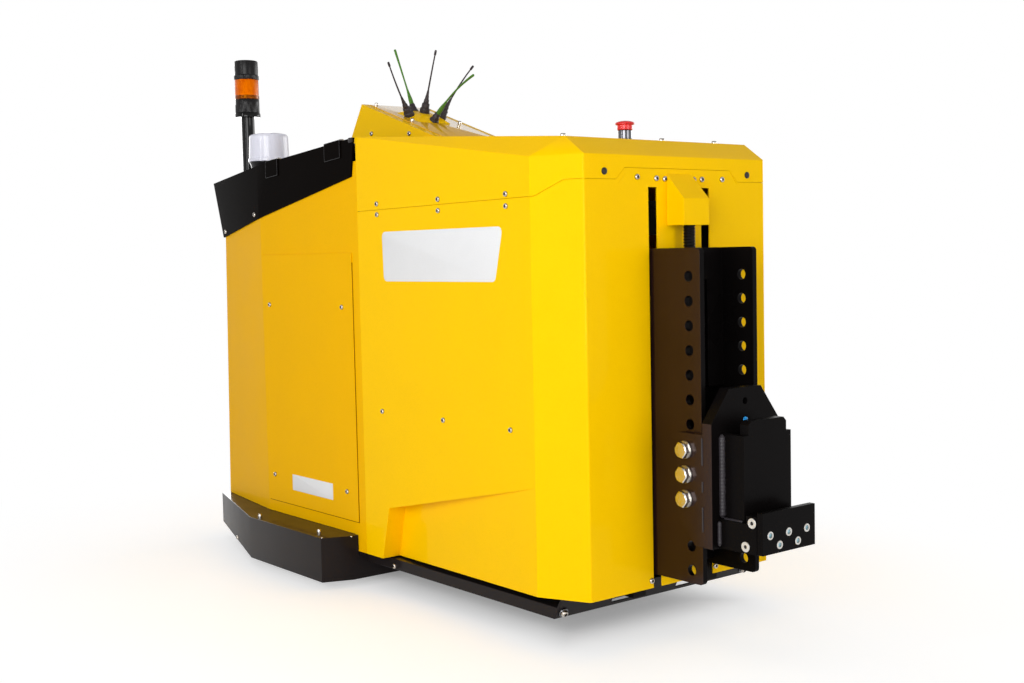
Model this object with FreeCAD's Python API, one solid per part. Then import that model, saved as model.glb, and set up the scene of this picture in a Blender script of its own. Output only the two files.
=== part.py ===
import FreeCAD, Part
import math
import os

os.makedirs("parts", exist_ok=True)
V = FreeCAD.Vector

# driving sizes, mm: X = 0 is the front face of the cover while building and +X
# runs to the hitch, Y = 0 is the plane of symmetry, Z = 0 is the floor
bodyHalf = 318.0            # half width over the side skins
bodyLen = 764.0             # front face to the seam with the rear shell
rearLen = 820.0             # seam to the foot of the rear face
bodyHigh = 929.0            # floor to the hood seam along the sides
skin = 3.0                  # sheet thickness of every yellow cover
bend = 5.0                  # outer bend radius of the yellow covers
panelT = 2.5                # service panel sheet
shieldT = 4.0               # console shield sheet
clipT = 3.0                 # shield clamp sheet
seat = 0.3                  # gap between parts that are seated on each other
moveGap = 6.0               # clearance kept around anything that moves
groundGap = 60.0            # floor to the underside of the chassis
skirtGap = 20.0             # floor to the underside of the rear base box
coverLow = 107.0            # lower edge of the cover at the front
coverLowRear = 89.0         # lower edge of the cover at its rear seam
facetX = 109.5              # length of the corner facets
facetY = 50.0               # width the corner facets take off each side
roofSet = 55.0              # roof edge behind the front face
foldBack = 493.0            # seam to the fold where the sides turn inwards
rearHalf = 272.0            # half width at the rear corners
rearLean = 0.0508           # lean of the rear face, forward for each mm up
railHalf = 292.0            # half width over the chassis skirts
panTop = 86.0               # top of the chassis floor pan
beamHigh = 200.0            # top of the two chassis beams
boxHalf = 409.0             # half width of the rear base box
boxTop = 130.0              # top of the rear base box
carriageHalf = 85.0         # half width over the lifting carriage
carriageOut = 136.4         # how far the carriage stands out of the front
carriageLow = 135.0         # lower end of the carriage as parked
plateT = 12.0               # carriage plate
padW = 25.0                 # width of the carriage's sliding pads
holePitch = 50.0            # hole spacing of the carriage plates
holeR = 11.0                # clearance holes for M20
holeCount = 13              # holes in each carriage plate
boltRow = 7                 # first of the three rows that hold the hitch
liftUp = 40.0               # travel of the carriage above its parked height
liftDown = 60.0             # travel of the carriage below its parked height
ramX = -109.0               # lifting ram axis
rodR = 14.0                 # lifting rod
driveR = 120.0              # drive tyre radius
driveW = 62.0               # drive tyre width
driveHalf = 42.0            # centre plane of each drive tyre
driveX = -310.0             # drive wheel and steering axis
axleR = 15.0                # drive axle
rearR = 100.0               # rear tyre radius
rearW = 60.0                # rear tyre width
rearBack = 246.0            # seam to the rear axle
rearTrackHalf = 245.0       # centre plane of each rear wheel
hoseR = 13.0                # lift conduit radius
hoseX = 28.0                # lift conduit axis in front of the front face
lampR = 34.0                # signal lamp radius
poleR = 18.5                # signal lamp pole radius
lampFore = 79.0             # signal lamp in front of the rear end
lampY = -215.0              # signal lamp and white dome beside the middle
domeR = 58.0                # white dome radius at its foot
domeFore = 200.0            # white dome in front of the rear end
whipLen = 173.0             # black antennas
taperLen = 189.0            # green antennas

# heights that follow the cover, and places that follow its two lengths
seamFront = bodyHigh + 31.0          # hood seam along the front
seamTab = 24.0                       # how far the middle of that seam stands up
seamFall = 6.0                       # how far the side seam falls towards the rear
shoulderZ = bodyHigh + 81.0          # where the top chamfers start at the front
roofFront = bodyHigh + 119.5         # roof height at the front
roofRear = bodyHigh + 173.0          # roof height at the rear seam
carriageTop = bodyHigh - 110.0       # upper end of the carriage as parked
panelTop = bodyHigh - 104.0          # upper edge of the service panels
hoseHigh = bodyHigh - 38.0           # where the conduit leaves the front face
hoseLow = bodyHigh - 269.0           # where the conduit turns back into it
shieldTopFront = roofRear - 1.0      # upper edge of the console shield at the hood
shieldTopRear = roofRear - 64.0      # upper edge of the console shield at its rear corner
deckDrop = 14.0                      # console deck below the shield's upper edge
seamX = -bodyLen
tailX = -bodyLen - rearLen
foldX = seamX - foldBack
rearX = seamX - rearBack
lampX = tailX + lampFore
domeX = tailX + domeFore
topRowZ = carriageTop - 57.2
rowX = carriageOut - 31.4
hitchLow = topRowZ - (boltRow + 2) * holePitch - 91.8    # underside of the hitch bar
lugZ = carriageTop - 179.0                               # underside of the ram lug
forkIn = 2 * driveHalf + moveGap
crownLow = 2 * driveR + 50.0
swingR = math.hypot(driveR, driveHalf + driveW / 2) + 9.5
beamOut = rearTrackHalf - rearW / 2 - 25.0
beamIn = beamOut - 40.0
postOut = beamOut + 15.0
deckRear = driveX - 190.0
deckFront = driveX + 162.0
beamRear = tailX + 60.0


def save(name, shape, shift):
    placed = shape.copy()
    placed.translate(V(shift, 0, 0))
    placed.exportStep("parts/" + name + ".step")


def box(x0, x1, y0, y1, z0, z1):
    return Part.makeBox(x1 - x0, y1 - y0, z1 - z0, V(x0, y0, z0))


def cylinder(radius, base, axis, length):
    return Part.makeCylinder(radius, length, V(*base), V(*axis))


def bentFace(points, radii):
    # polygon whose corners are rounded, each to its own radius (0 keeps it sharp)
    ring = [V(*p) for p in points]
    if not isinstance(radii, list):
        radii = [radii] * len(ring)
    edges = []
    ends = []
    for i, b in enumerate(ring):
        u = (ring[i - 1] - b).normalize()
        w = (ring[(i + 1) % len(ring)] - b).normalize()
        r = radii[i]
        if r <= 0:
            ends.append((b, b, None))
            continue
        half = u.getAngle(w) / 2.0
        t = r / math.tan(half)
        m = (u + w).normalize()
        mid = b + m * (r / math.sin(half) - r)
        ends.append((b + u * t, b + w * t, mid))
    for i, (start, stop, mid) in enumerate(ends):
        if mid is not None:
            edges.append(Part.Arc(start, mid, stop).toShape())
        nextStart = ends[(i + 1) % len(ends)][0]
        if (nextStart - stop).Length > 1e-6:
            edges.append(Part.makeLine(stop, nextStart))
    return Part.Face(Part.Wire(edges))


def plan(points, z0, z1, radii=0):
    # an outline seen from above, between two heights
    ring = [(x, y, z0) for x, y in points]
    return bentFace(ring, radii).extrude(V(0, 0, z1 - z0))


def side(points, y0, y1, radii=0):
    # an outline seen from the side, between two widths
    ring = [(x, y0, z) for x, z in points]
    return bentFace(ring, radii).extrude(V(0, y1 - y0, 0))


def front(points, x0, x1, radii=0):
    # an outline seen from the front, between two lengths
    ring = [(x0, y, z) for y, z in points]
    return bentFace(ring, radii).extrude(V(x1 - x0, 0, 0))


def turned(profile, radii, base, axis=(0, 0, 1)):
    # profile of (radius, height) turned about the axis through base
    ring = [(r, 0, h) for r, h in profile]
    shape = bentFace(ring, radii).revolve(V(0, 0, 0), V(0, 0, 1), 360)
    shape.Placement = FreeCAD.Placement(V(*base), FreeCAD.Rotation(V(0, 0, 1), V(*axis)))
    return shape


def mirror(shape):
    return shape.mirror(V(0, 0, 0), V(0, 1, 0))


def both(shape):
    return shape.fuse(mirror(shape))


def inset(points, d):
    # moves every edge of a counter-clockwise polygon inwards by d
    n = len(points)
    out = []
    for i in range(n):
        ax, ay = points[i - 1]
        bx, by = points[i]
        cx, cy = points[(i + 1) % n]
        u = (bx - ax, by - ay)
        w = (cx - bx, cy - by)
        lu = math.hypot(*u)
        lw = math.hypot(*w)
        nu = (-u[1] / lu, u[0] / lu)
        nw = (-w[1] / lw, w[0] / lw)
        k = d / (1.0 + nu[0] * nw[0] + nu[1] * nw[1])
        out.append((bx + (nu[0] + nw[0]) * k, by + (nu[1] + nw[1]) * k))
    return out


def beyond(point, normal, size=4000.0):
    # the half space that the normal points into
    n = V(*normal).normalize()
    block = Part.makeBox(size, size, size, V(-size / 2, -size / 2, 0))
    block.Placement = FreeCAD.Placement(V(*point), FreeCAD.Rotation(V(0, 0, 1), n))
    return block


def planeNormal(a, b, c):
    n = (V(*b) - V(*a)).cross(V(*c) - V(*a)).normalize()
    if n.z < 0:
        n = n * -1
    return n


def loft(lower, upper):
    wires = []
    for ring in (lower, upper):
        pts = [V(*p) for p in ring]
        wires.append(Part.makePolygon(pts + [pts[0]]))
    return Part.makeLoft(wires, True, True)


# main cover and hood
def coverPlan(d):
    half = bodyHalf
    ring = [(seamX, -half), (-facetX, -half), (0, facetY - half),
            (0, half - facetY), (-facetX, half), (seamX, half)]
    return inset(ring, d)


def bends(d):
    # the rear corners at the seam are cut square, the four front ones are bent
    return [0] + [bend - d] * 4 + [0]


def upperBody(d, low, high):
    # cover outline cut by the sloped roof, the front chamfer and the side chamfers,
    # with a three-sided chamfer between them over each corner facet
    body = plan(coverPlan(d), low, high, bends(d))
    a = (-roofSet, 0, roofFront)
    n = planeNormal(a, (seamX, 0, roofRear), (-roofSet, 10, roofFront))
    body = body.cut(beyond(V(*a) - n * d, n))
    n = planeNormal((0, 0, shoulderZ), (0, 10, shoulderZ), a)
    body = body.cut(beyond(V(0, 0, shoulderZ) - n * d, n))
    for s in (-1, 1):
        p = (-facetX, s * bodyHalf, shoulderZ)
        q = (seamX, s * bodyHalf, roofRear)
        r = (-roofSet, s * (bodyHalf - facetY), roofFront)
        corner = (0, s * (bodyHalf - facetY), shoulderZ)
        for far in (q, corner):
            n = planeNormal(p, far, r)
            body = body.cut(beyond(V(*p) - n * d, n))
    return body


def aboveSeam(lift):
    # everything over the hood seam, which climbs across the corner facets
    # and stands up in a tab in the middle of the front
    z0 = bodyHigh + lift
    z1 = seamFront + lift
    z2 = z1 + seamTab
    far = 2000.0
    tabHalf = 181.0
    zFar = z0 - seamFall * (far - 100) / (bodyLen - 100)
    low = side([(-far, zFar), (-100, z0), (-40, z1), (far, z1), (far, far), (-far, far)],
               -far, far)
    tab = front([(-tabHalf, z1 - 200), (tabHalf, z1 - 200), (tabHalf, z1),
                 (tabHalf - seamTab, z2), (seamTab - tabHalf, z2), (-tabHalf, z1)], -40, far)
    return low.cut(tab)


def recess(d):
    # the tapered pocket low on the side, deepest towards the rear
    depth = 48.0
    x0, x1 = seamX + 71.0, -110.0
    low, high = 215.7, 332.0
    tri = inset([(x0, -bodyHalf - 40), (x1 + 200, -bodyHalf - 40), (x1, -bodyHalf),
                 (x0, depth - bodyHalf)], -d)
    wedge = plan(tri, 0, 600)
    outline = inset([(x0 - 6, 60), (x1 + 300, 60), (x1 + 300, 400), (x1 - 4, high),
                     (x0 + 34, low)], -d)
    return wedge.common(side(outline, -bodyHalf - 60, 0))


def makeMainCover():
    top = seamFront + 80
    wall = plan(coverPlan(0), 60, top, bends(0)).cut(both(recess(0)))
    inner = plan(coverPlan(skin), 40, top + 20, bends(skin)).cut(both(recess(skin)))
    inner = inner.fuse(box(seamX - 20, seamX + 2 * skin, skin - bodyHalf, bodyHalf - skin,
                           40, top + 20))
    shell = wall.cut(inner)
    under = side([(-2000, coverLowRear - 40), (-2000, coverLowRear),
                  (seamX + 60, coverLowRear), (-facetX, coverLow), (100, coverLow),
                  (100, 0), (-2000, 0)], -1000, 1000)
    shell = shell.cut(under).cut(aboveSeam(0))
    slotLow = carriageHalf - plateT - moveGap - 1.5
    slotHigh = carriageHalf + moveGap
    slot = box(-50, 50, slotLow, slotHigh, 0, bodyHigh + 17.0)
    shell = shell.cut(both(slot))
    for z in (hoseLow, hoseHigh):
        shell = shell.cut(cylinder(hoseR + 1, (-20, 0, z), (1, 0, 0), 40))
    return shell


def makeHood():
    low = bodyHigh - 29
    high = roofRear + 98
    shell = upperBody(0, low, high).cut(upperBody(skin, low - 20, high - 10))
    rear = upperBody(skin, low, high).common(box(seamX - 1, seamX + skin + 1, -bodyHalf,
                                                 bodyHalf, low, high))
    return shell.fuse(rear).common(aboveSeam(0.8))


# rear shell and its service panels
def rearSideY(x):
    # half width of the rear facets at a length
    k = (bodyHalf - rearHalf) / (rearLen - foldBack)
    return bodyHalf - k * (foldX - x)


def rearPlan(d, x):
    y = rearSideY(x)
    ring = [(x, -y), (foldX, -bodyHalf), (seamX - 0.8, -bodyHalf),
            (seamX - 0.8, bodyHalf), (foldX, bodyHalf), (x, y)]
    return inset(ring, d)


def rearCut(d):
    # half space behind the leaning rear face
    return beyond((tailX + d, 0, boxTop), (-1, 0, rearLean))


shieldBottom = [(seamX - 18, roofRear - 94), (foldX, roofRear - 178), (tailX + 36, roofRear - 223)]
panelOutline = [(foldX + 10, boxTop + 32), (seamX - 30.5, boxTop + 32),
                (seamX - 30.5, panelTop), (foldX + 10, panelTop)]


def makeRearShell():
    far = tailX - 80
    fold = [0, bend, 0, 0, bend, 0]
    foldIn = [0, bend - skin, 0, 0, bend - skin, 0]
    wall = plan(rearPlan(0, far), boxTop + seat, roofRear, fold).cut(rearCut(0))
    inner = plan(rearPlan(skin, far), 60, roofRear + 100, foldIn).cut(rearCut(skin))
    openFront = box(seamX - 40, seamX + 20, skin - bodyHalf, bodyHalf - skin, 60,
                    roofRear + 100)
    shell = wall.cut(inner.fuse(openFront))
    # the upper edge runs a hidden lap above the lower edge of the console shield
    lap = 36.0
    a, b, c = shieldBottom
    over = side([(a[0] + 182, a[1] + lap + 14), (a[0], a[1] + lap), (b[0], b[1] + lap),
                 (c[0] - 100, c[1] + lap - 16), (c[0] - 100, 1800), (a[0] + 182, 1800)],
                -1000, 1000)
    shell = shell.cut(over)
    # a leg in front of the base box reaches down beside the seam
    leg = box(seamX - 52, seamX - 0.8, -bodyHalf, skin - bodyHalf, coverLowRear, 200)
    shell = shell.fuse(both(leg))
    hole = side(inset(panelOutline, 10), -bodyHalf - 10, skin - bodyHalf + 10, 6)
    return shell.cut(both(hole))


def accessPanel():
    y0 = -bodyHalf - seat - panelT
    return side(panelOutline, y0, y0 + panelT, 2)


# console behind the hood
def consoleBody(d, low, high):
    # vertical sides and facets, and a rear wall that leans out towards the operator
    lean = 74.0 / 159.0
    def ring(z):
        x = tailX + 36 - (z - shieldBottom[2][1]) * lean
        y = rearSideY(x)
        pts = [(x, -y), (foldX, -bodyHalf), (seamX - 1, -bodyHalf),
               (seamX - 1, bodyHalf), (foldX, bodyHalf), (x, y)]
        return [(px, py, z) for px, py in inset(pts, d)]
    return loft(ring(low), ring(high))


def shieldTop(x):
    k = (shieldTopFront - shieldTopRear) / (rearLen + 38)
    return shieldTopRear + (x - tailX + 38) * k


def deckZ(x):
    return shieldTop(x) - deckDrop


def makeShield():
    low = shieldBottom[2][1] - 39
    high = roofRear + 28
    wall = consoleBody(-shieldT - seat, low, high)
    inner = consoleBody(-seat, low - 20, high + 20)
    inner = inner.fuse(box(seamX - 30, seamX + 20, -bodyHalf - seat, bodyHalf + seat,
                           low - 20, high + 20))
    a, b, c = shieldBottom
    far = tailX - 140
    lip = seamX - 2
    outline = [(far, c[1] - 20), (c[0], c[1]), b, a, (lip, shieldTop(lip)),
               (far, shieldTop(far))]
    shield = wall.cut(inner).common(side(outline, -1000, 1000))
    for x0, x1 in ((foldX + 54, foldX + 116), (seamX - 134, seamX - 62)):
        shield = shield.fuse(both(shieldClamp(x0, x1)))
    return shield


def shieldClamp(x0, x1):
    # folded clip that grips the upper edge of the shield from both sides
    out = bodyHalf + seat + shieldT
    def band(low, high, y0, y1):
        return side([(x0, shieldTop(x0) + low), (x1, shieldTop(x1) + low),
                     (x1, shieldTop(x1) + high), (x0, shieldTop(x0) + high)], y0, y1)
    outer = band(-40, clipT, -out - clipT, -out)
    bridge = band(0, clipT, -out - clipT, -bodyHalf + 22)
    inner = band(-9, clipT, -bodyHalf + 22 - clipT, -bodyHalf + 22)
    return outer.fuse([bridge, inner])


def makeDeck():
    t = 5.0
    x0, x1 = seamX - 1.0, tailX - 140
    slab = side([(x0, deckZ(x0) - t), (x0, deckZ(x0)), (x1, deckZ(x1)), (x1, deckZ(x1) - t)],
                -1000, 1000)
    return consoleBody(0, deckZ(x1) - 40, roofRear + 38).common(slab)


# chassis and base box
def makeChassis():
    t = 6.0
    beamLow = 130.0
    panRear = seamX - 40
    noseLow, noseHigh = -88.0, -62.0
    noseTop = groundGap + 46.0
    pan = box(panRear, noseLow + 4, -railHalf, railHalf, panTop - t, panTop)
    rise = (noseHigh - noseLow) / (noseTop - groundGap)
    skirt = both(side([(panRear, groundGap), (noseLow, groundGap),
                       (noseLow + rise * (panTop - groundGap), panTop), (panRear, panTop)],
                      railHalf - 8, railHalf))
    nose = side([(noseLow - t, groundGap), (noseLow, groundGap), (noseHigh, noseTop),
                 (noseHigh - t, noseTop)], -railHalf, railHalf)
    # the pan and the nose plate are notched around the carriage and its pads
    notchIn = carriageHalf - plateT - moveGap - 9.0
    notchOut = carriageHalf + padW + 3 * moveGap + 8.0
    gap = both(box(-200, 0, notchIn, notchOut, groundGap + 8, 300))
    frame = pan.cut(both(box(noseLow - 4, 0, notchIn, notchOut, 0, 300)))
    frame = frame.fuse([skirt, nose.cut(gap)])
    beam = both(box(beamRear, deckRear, beamIn, beamOut, beamLow, beamHigh))
    beam = beam.cut(both(box(beamRear + 10, deckRear - 10, beamIn + 5, beamOut - 5,
                             beamLow + 5, beamHigh - 5)))
    cross = box(deckRear - 40, deckRear, -postOut, postOut, panTop, beamHigh)
    cross = cross.cut(box(deckRear - 34, deckRear - 6, -postOut - 1, postOut + 1,
                          panTop + t, beamHigh - t))
    cross = cross.fuse(box(panRear, panRear + 40, -postOut, postOut, panTop, beamHigh))
    cross = cross.fuse(box(beamRear, beamRear + 40, -postOut, postOut, beamLow, beamHigh))
    # turntable plate over the drive unit
    deckLow = crownLow + 30
    deck = box(deckRear, deckFront, -postOut, postOut, deckLow, deckLow + 12)
    posts = both(box(deckRear, deckRear + 40, beamOut, postOut, panTop, deckLow))
    posts = posts.fuse(both(box(deckFront - 40, deckFront, beamOut, postOut, panTop, deckLow)))
    frame = frame.fuse([beam, cross, deck, posts])
    frame = frame.cut(cylinder(swingR, (driveX, 0, 0), (0, 0, 1), panTop + 10))
    return frame.cut(cylinder(40.5, (driveX, 0, deckLow - 20), (0, 0, 1), 60))


def makeBaseBox():
    wall = 5.0
    foot = 8.0
    rise = 25.0
    back = tailX - 6
    turn = foldX + 59
    fore, nose = seamX - 64, seamX - 36
    ring = [(back, -rearHalf - 24), (turn, -boxHalf), (fore, -boxHalf), (nose, -bodyHalf - 17),
            (nose, bodyHalf + 17), (fore, boxHalf), (turn, boxHalf), (back, rearHalf + 24)]
    outer = plan(ring, skirtGap, boxTop)
    def rearRise(lift):
        # the underside climbs towards the rear
        return side([(turn, skirtGap + lift), (back - 10, skirtGap + lift + rise),
                     (back - 10, 0), (turn, 0)], -1000, 1000)
    outer = outer.cut(rearRise(0))
    inner = plan(inset(ring, wall), skirtGap + foot, boxTop - wall).cut(rearRise(foot))
    shell = outer.cut(inner)
    shell = shell.cut(plan(inset(rearPlan(0, tailX + 2), 30), boxTop - 20, boxTop + 20))
    wellX = rearR + 15
    wellY = rearW / 2 + 12
    for s in (-1, 1):
        y = s * rearTrackHalf
        shell = shell.cut(box(rearX - wellX, rearX + wellX, y - wellY, y + wellY, 0, rearR))
    notch = box(seamX - 320, seamX + 64, -railHalf - 0.5, railHalf + 0.5, groundGap - 0.5,
                panTop + 1)
    doorHalf = 251.0
    notch = notch.fuse(box(nose - wall - 1, nose + 1, -doorHalf, doorHalf, groundGap,
                           boxTop + 1))
    leg = both(box(seamX - 53, seamX, -bodyHalf - 1, 4 - bodyHalf, coverLowRear - 9, 190))
    return shell.cut(notch).cut(leg)


# mast, carriage and lifting ram
padX0, padX1 = -75.0, -35.0
mastFoot = panTop + seat


def makeMast():
    g = moveGap
    x0, x1 = padX0 - g - 6, padX1 + g + 6
    y0 = carriageHalf + g
    y1 = y0 + padW + g
    low = mastFoot
    high = carriageTop + liftUp + 49
    rail = box(x0, x1, y0, y1 + 6, low, high)
    rail = both(rail.cut(box(x0 + 6, x1 - 6, y0 - 1, y1, low - 1, high + 1)))
    head = both(box(x0, x1, y0, y1 + 6, high, high + 14))
    bar = box(x0, x0 + 12, -y1 - 6, y1 + 6, high, high + 14)
    brace = box(x0 - 8, x0, -y1 - 6, y1 + 6, high - 60, high + 14)
    foot = box(x0 - 58, x0, -y1 - 6, y1 + 6, low, low + 14)
    foot = foot.fuse(both(box(x0 - 8, x0, y0 - 46, y1 + 6, low, low + 60)))
    return rail.fuse([head, bar, brace, foot])


def holeLine(y0, length):
    hole = None
    for i in range(holeCount):
        h = cylinder(holeR, (rowX, y0, topRowZ - holePitch * i), (0, 1, 0), length)
        hole = h if hole is None else hole.fuse(h)
    return hole


def makeCarriage():
    y0, y1 = carriageHalf - plateT, carriageHalf
    outline = [(padX0, carriageLow), (carriageOut, carriageLow), (carriageOut, carriageTop),
               (padX0, carriageTop)]
    plate = side(outline, y0, y1, [0, 9, 9, 0]).cut(holeLine(y0 - 5, plateT + 10))
    pads = box(padX0, padX1, y1, y1 + padW, carriageLow + 30, carriageLow + 130)
    pads = pads.fuse(box(padX0, padX1, y1, y1 + padW, carriageTop - 160, carriageTop - 60))
    splitZ = carriageTop - 292
    web = box(46, 52, -y0, y0, splitZ, carriageTop)
    web = web.cut(box(40, 60, 19, 27, splitZ - 27, carriageTop - 67))
    low = box(14, 20, -y0, y0, carriageLow + 15, splitZ - 7)
    tie = box(padX0, padX0 + 12, -y0, y0, lugZ - 80, lugZ + 50)
    lug = box(ramX - 20, padX0, -20, 20, lugZ, lugZ + 20)
    lug = lug.cut(cylinder(8.2, (ramX, 0, lugZ - 20), (0, 0, 1), 60))
    return both(plate.fuse(pads)).fuse([web, low, tie, lug])


def makeBarrel():
    # the gland stays under the lug when the carriage is at its lowest
    low = mastFoot + 14 + seat
    top = lugZ - liftDown - 38
    wall = 11.5
    tube = cylinder(rodR + 0.5 + wall, (ramX, 0, low), (0, 0, 1), top - 1 - low)
    foot = cylinder(34, (ramX, 0, low), (0, 0, 1), 16)
    gland = cylinder(rodR + wall + 2.5, (ramX, 0, top - 30), (0, 0, 1), 30)
    bore = cylinder(rodR + 0.5, (ramX, 0, low + 12), (0, 0, 1), top - low)
    return tube.fuse([foot, gland]).cut(bore)


def makeRod():
    rodLow = mastFoot + 26 + liftDown + 88
    rod = cylinder(rodR, (ramX, 0, rodLow), (0, 0, 1), lugZ - rodLow - seat)
    neck = cylinder(8, (ramX, 0, lugZ - 20), (0, 0, 1), 56)
    nut = cylinder(16, (ramX, 0, lugZ + 20 + seat), (0, 0, 1), 14)
    return rod.fuse([neck, nut])


# hitch on the carriage
bracketX = carriageOut + 15.6
bracketT = 25.0
bracketFace = bracketX + bracketT
barBack = bracketFace + 97.0
barT = 14.0
armIn, armOut = 65.0, 80.0


def makeBracket():
    z = hitchLow
    y0 = carriageHalf + seat
    y1 = y0 + 15
    cheek = side([(bracketX - 72, z + 55), (bracketX - 24, z), (bracketX, z),
                  (bracketX, z + 226), (bracketX - 72, z + 226)], y0, y1, [4, 4, 0, 0, 6])
    for k in range(boltRow, boltRow + 3):
        cheek = cheek.cut(cylinder(holeR, (rowX, y0 - 5, topRowZ - holePitch * k), (0, 1, 0), 40))
    back = front([(-y1, z - 2), (y1, z - 2), (y1, z + 249), (48, z + 316), (-48, z + 316),
                  (-y1, z + 249)], bracketX, bracketFace)
    back = back.cut(cylinder(7, (bracketX - 12, 0, z + 288), (1, 0, 0), 60))
    bracket = both(cheek).fuse(back)
    # upright pocket that a coupling can be dropped into
    wallLow, wallHigh = z + 58, z + 228
    wallIn, wallOut = armIn - 9, armIn + 6
    lidX0, lidX1 = bracketFace + 36, bracketFace + 58
    wall = box(bracketFace, lidX1, wallIn, wallOut, wallLow, wallHigh)
    lid = front([(-wallIn, wallLow), (wallIn, wallLow), (wallIn, wallHigh),
                 (wallIn + 1, wallHigh), (wallIn + 1, wallHigh + 20),
                 (wallIn - 7, wallHigh + 28), (7 - wallIn, wallHigh + 28),
                 (-wallIn - 1, wallHigh + 20), (-wallIn - 1, wallHigh), (-wallIn, wallHigh)],
                lidX0, lidX1)
    return bracket.fuse([both(wall), lid])


def barScrews():
    high, low = hitchLow + 37, hitchLow + 15
    return [(-55, high), (0, high), (55, high), (-27.5, low), (27.5, low)]


def makeArms():
    z = hitchLow
    root = bracketFace + seat
    tip = barBack - seat
    arm = side([(root, z - 1), (tip, z - 1), (tip, z + 74), (tip - 26.7, z + 74),
                (tip - 26.7, z + 57.7), (root, z + 57.7)], armIn, armOut)
    block = box(tip - 29.7, tip, -armIn, armIn, z + 2, z + 70)
    arms = both(arm).fuse(block)
    for y, sz in barScrews():
        arms = arms.cut(cylinder(4.25, (tip - 24, y, sz), (1, 0, 0), 60))
    return arms


def makeBar():
    bar = box(barBack, barBack + barT, -armOut + 0.5, armOut - 0.5, hitchLow, hitchLow + 83)
    for y, z in barScrews():
        bar = bar.cut(cylinder(5.5, (barBack - 14, y, z), (1, 0, 0), 60))
        bar = bar.cut(cylinder(9, (barBack + barT - 7, y, z), (1, 0, 0), 20))
    return bar


# conduit on the front and its cover
def makeHoseCover():
    low, knee, top = hoseHigh - 25, hoseHigh + 30, hoseHigh + 83
    out = hoseX + hoseR + 9
    half = hoseR + 25
    t = 2.5
    outer = side([(seat, low), (out, low), (out, knee), (seat, top)], -half, half)
    inner = side([(seat - 5, low - 6), (out - t, low - 6), (out - t, knee - 1), (seat - 5, top)],
                 t - half, half - t)
    return outer.cut(inner)


def makeHose():
    # one length of ribbed conduit: out of the face, down, and back in lower down
    turn = hoseX - 4.0
    inside = -skin - 12.0
    k = turn * (1 - math.sqrt(0.5))
    p = [V(inside, 0, hoseHigh), V(hoseX - turn, 0, hoseHigh),
         V(hoseX - k, 0, hoseHigh - k), V(hoseX, 0, hoseHigh - turn),
         V(hoseX, 0, hoseLow + turn), V(hoseX - k, 0, hoseLow + k),
         V(hoseX - turn, 0, hoseLow), V(inside, 0, hoseLow)]
    path = Part.Wire([Part.makeLine(p[0], p[1]), Part.Arc(p[1], p[2], p[3]).toShape(),
                      Part.makeLine(p[3], p[4]), Part.Arc(p[4], p[5], p[6]).toShape(),
                      Part.makeLine(p[6], p[7])])
    ring = Part.Wire([Part.makeCircle(hoseR, p[0], V(1, 0, 0))])
    hose = path.makePipeShell([ring], True, False)
    nut = cylinder(hoseR + 5, (seat, 0, hoseLow), (1, 0, 0), 5)
    return hose.fuse(nut)


# roof and console equipment
def roofZ(x):
    return roofFront + (roofRear - roofFront) * (-roofSet - x) / (bodyLen - roofSet)


wedgeHalf = 109.0
wedgeToe, wedgeRidge, wedgeTail = seamX + 65.0, seamX - 296.5, seamX - 405.0
wedgeRise = 0.3375
wedgeLip = 1.5
slopeNormal = V(wedgeRise, 0, 1).normalize()
slopeDown = V(1, 0, -wedgeRise).normalize()


def wedgeTop(x):
    return roofZ(wedgeToe) + wedgeLip + (wedgeToe - x) * wedgeRise


def makeAntennaHousing():
    back = seamX - 1.6
    t = 3.0
    outline = [(wedgeTail, deckZ(wedgeTail) + seat), (back, deckZ(back) + seat),
               (back, roofRear + 1.0), (wedgeToe, roofZ(wedgeToe) + 0.6),
               (wedgeToe, wedgeTop(wedgeToe)), (wedgeRidge, wedgeTop(wedgeRidge))]
    outer = side(outline, -wedgeHalf, wedgeHalf)
    inner = side([(wedgeTail + t, deckZ(wedgeTail) - 5), (back - t, deckZ(back) - 5),
                  (back - t, roofRear + 4), (wedgeToe - 12, roofZ(wedgeToe - 12) + 4),
                  (wedgeRidge, wedgeTop(wedgeRidge) - t)], t - wedgeHalf, wedgeHalf - t)
    return outer.cut(inner)


# the antenna boss is a low pyramid stump whose four slopes each carry an antenna
bossX, bossY = wedgeRidge + 136.0, -5.0
bossFoot, bossTop, bossHigh = 54.0, 27.0, 14.0


def onBoss(down, across, up):
    # a place on the wedge slope, measured from the middle of the boss
    foot = V(bossX, bossY + across, wedgeTop(bossX))
    return foot + slopeDown * down + slopeNormal * up


def makeBoss():
    def ring(half, up):
        return [onBoss(u * half, v * half, up) for u, v in ((-1, -1), (1, -1), (1, 1), (-1, 1))]
    return loft(ring(bossFoot, seat), ring(bossTop, bossHigh))


# place on the boss and the direction that each antenna points in
antennas = {
    "antenna_whip_1": ((-2, -43), (0.29, -0.58, 0.78)),
    "antenna_whip_2": ((-8, 6), (0.41, -0.01, 0.92)),
    "antenna_whip_3": ((18, 42), (0.27, 0.48, 0.84)),
    "antenna_taper_1": ((-41, -3), (-0.33, -0.08, 0.93)),
    "antenna_taper_2": ((43, 4), (0.82, 0.08, 0.585)),
}


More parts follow.
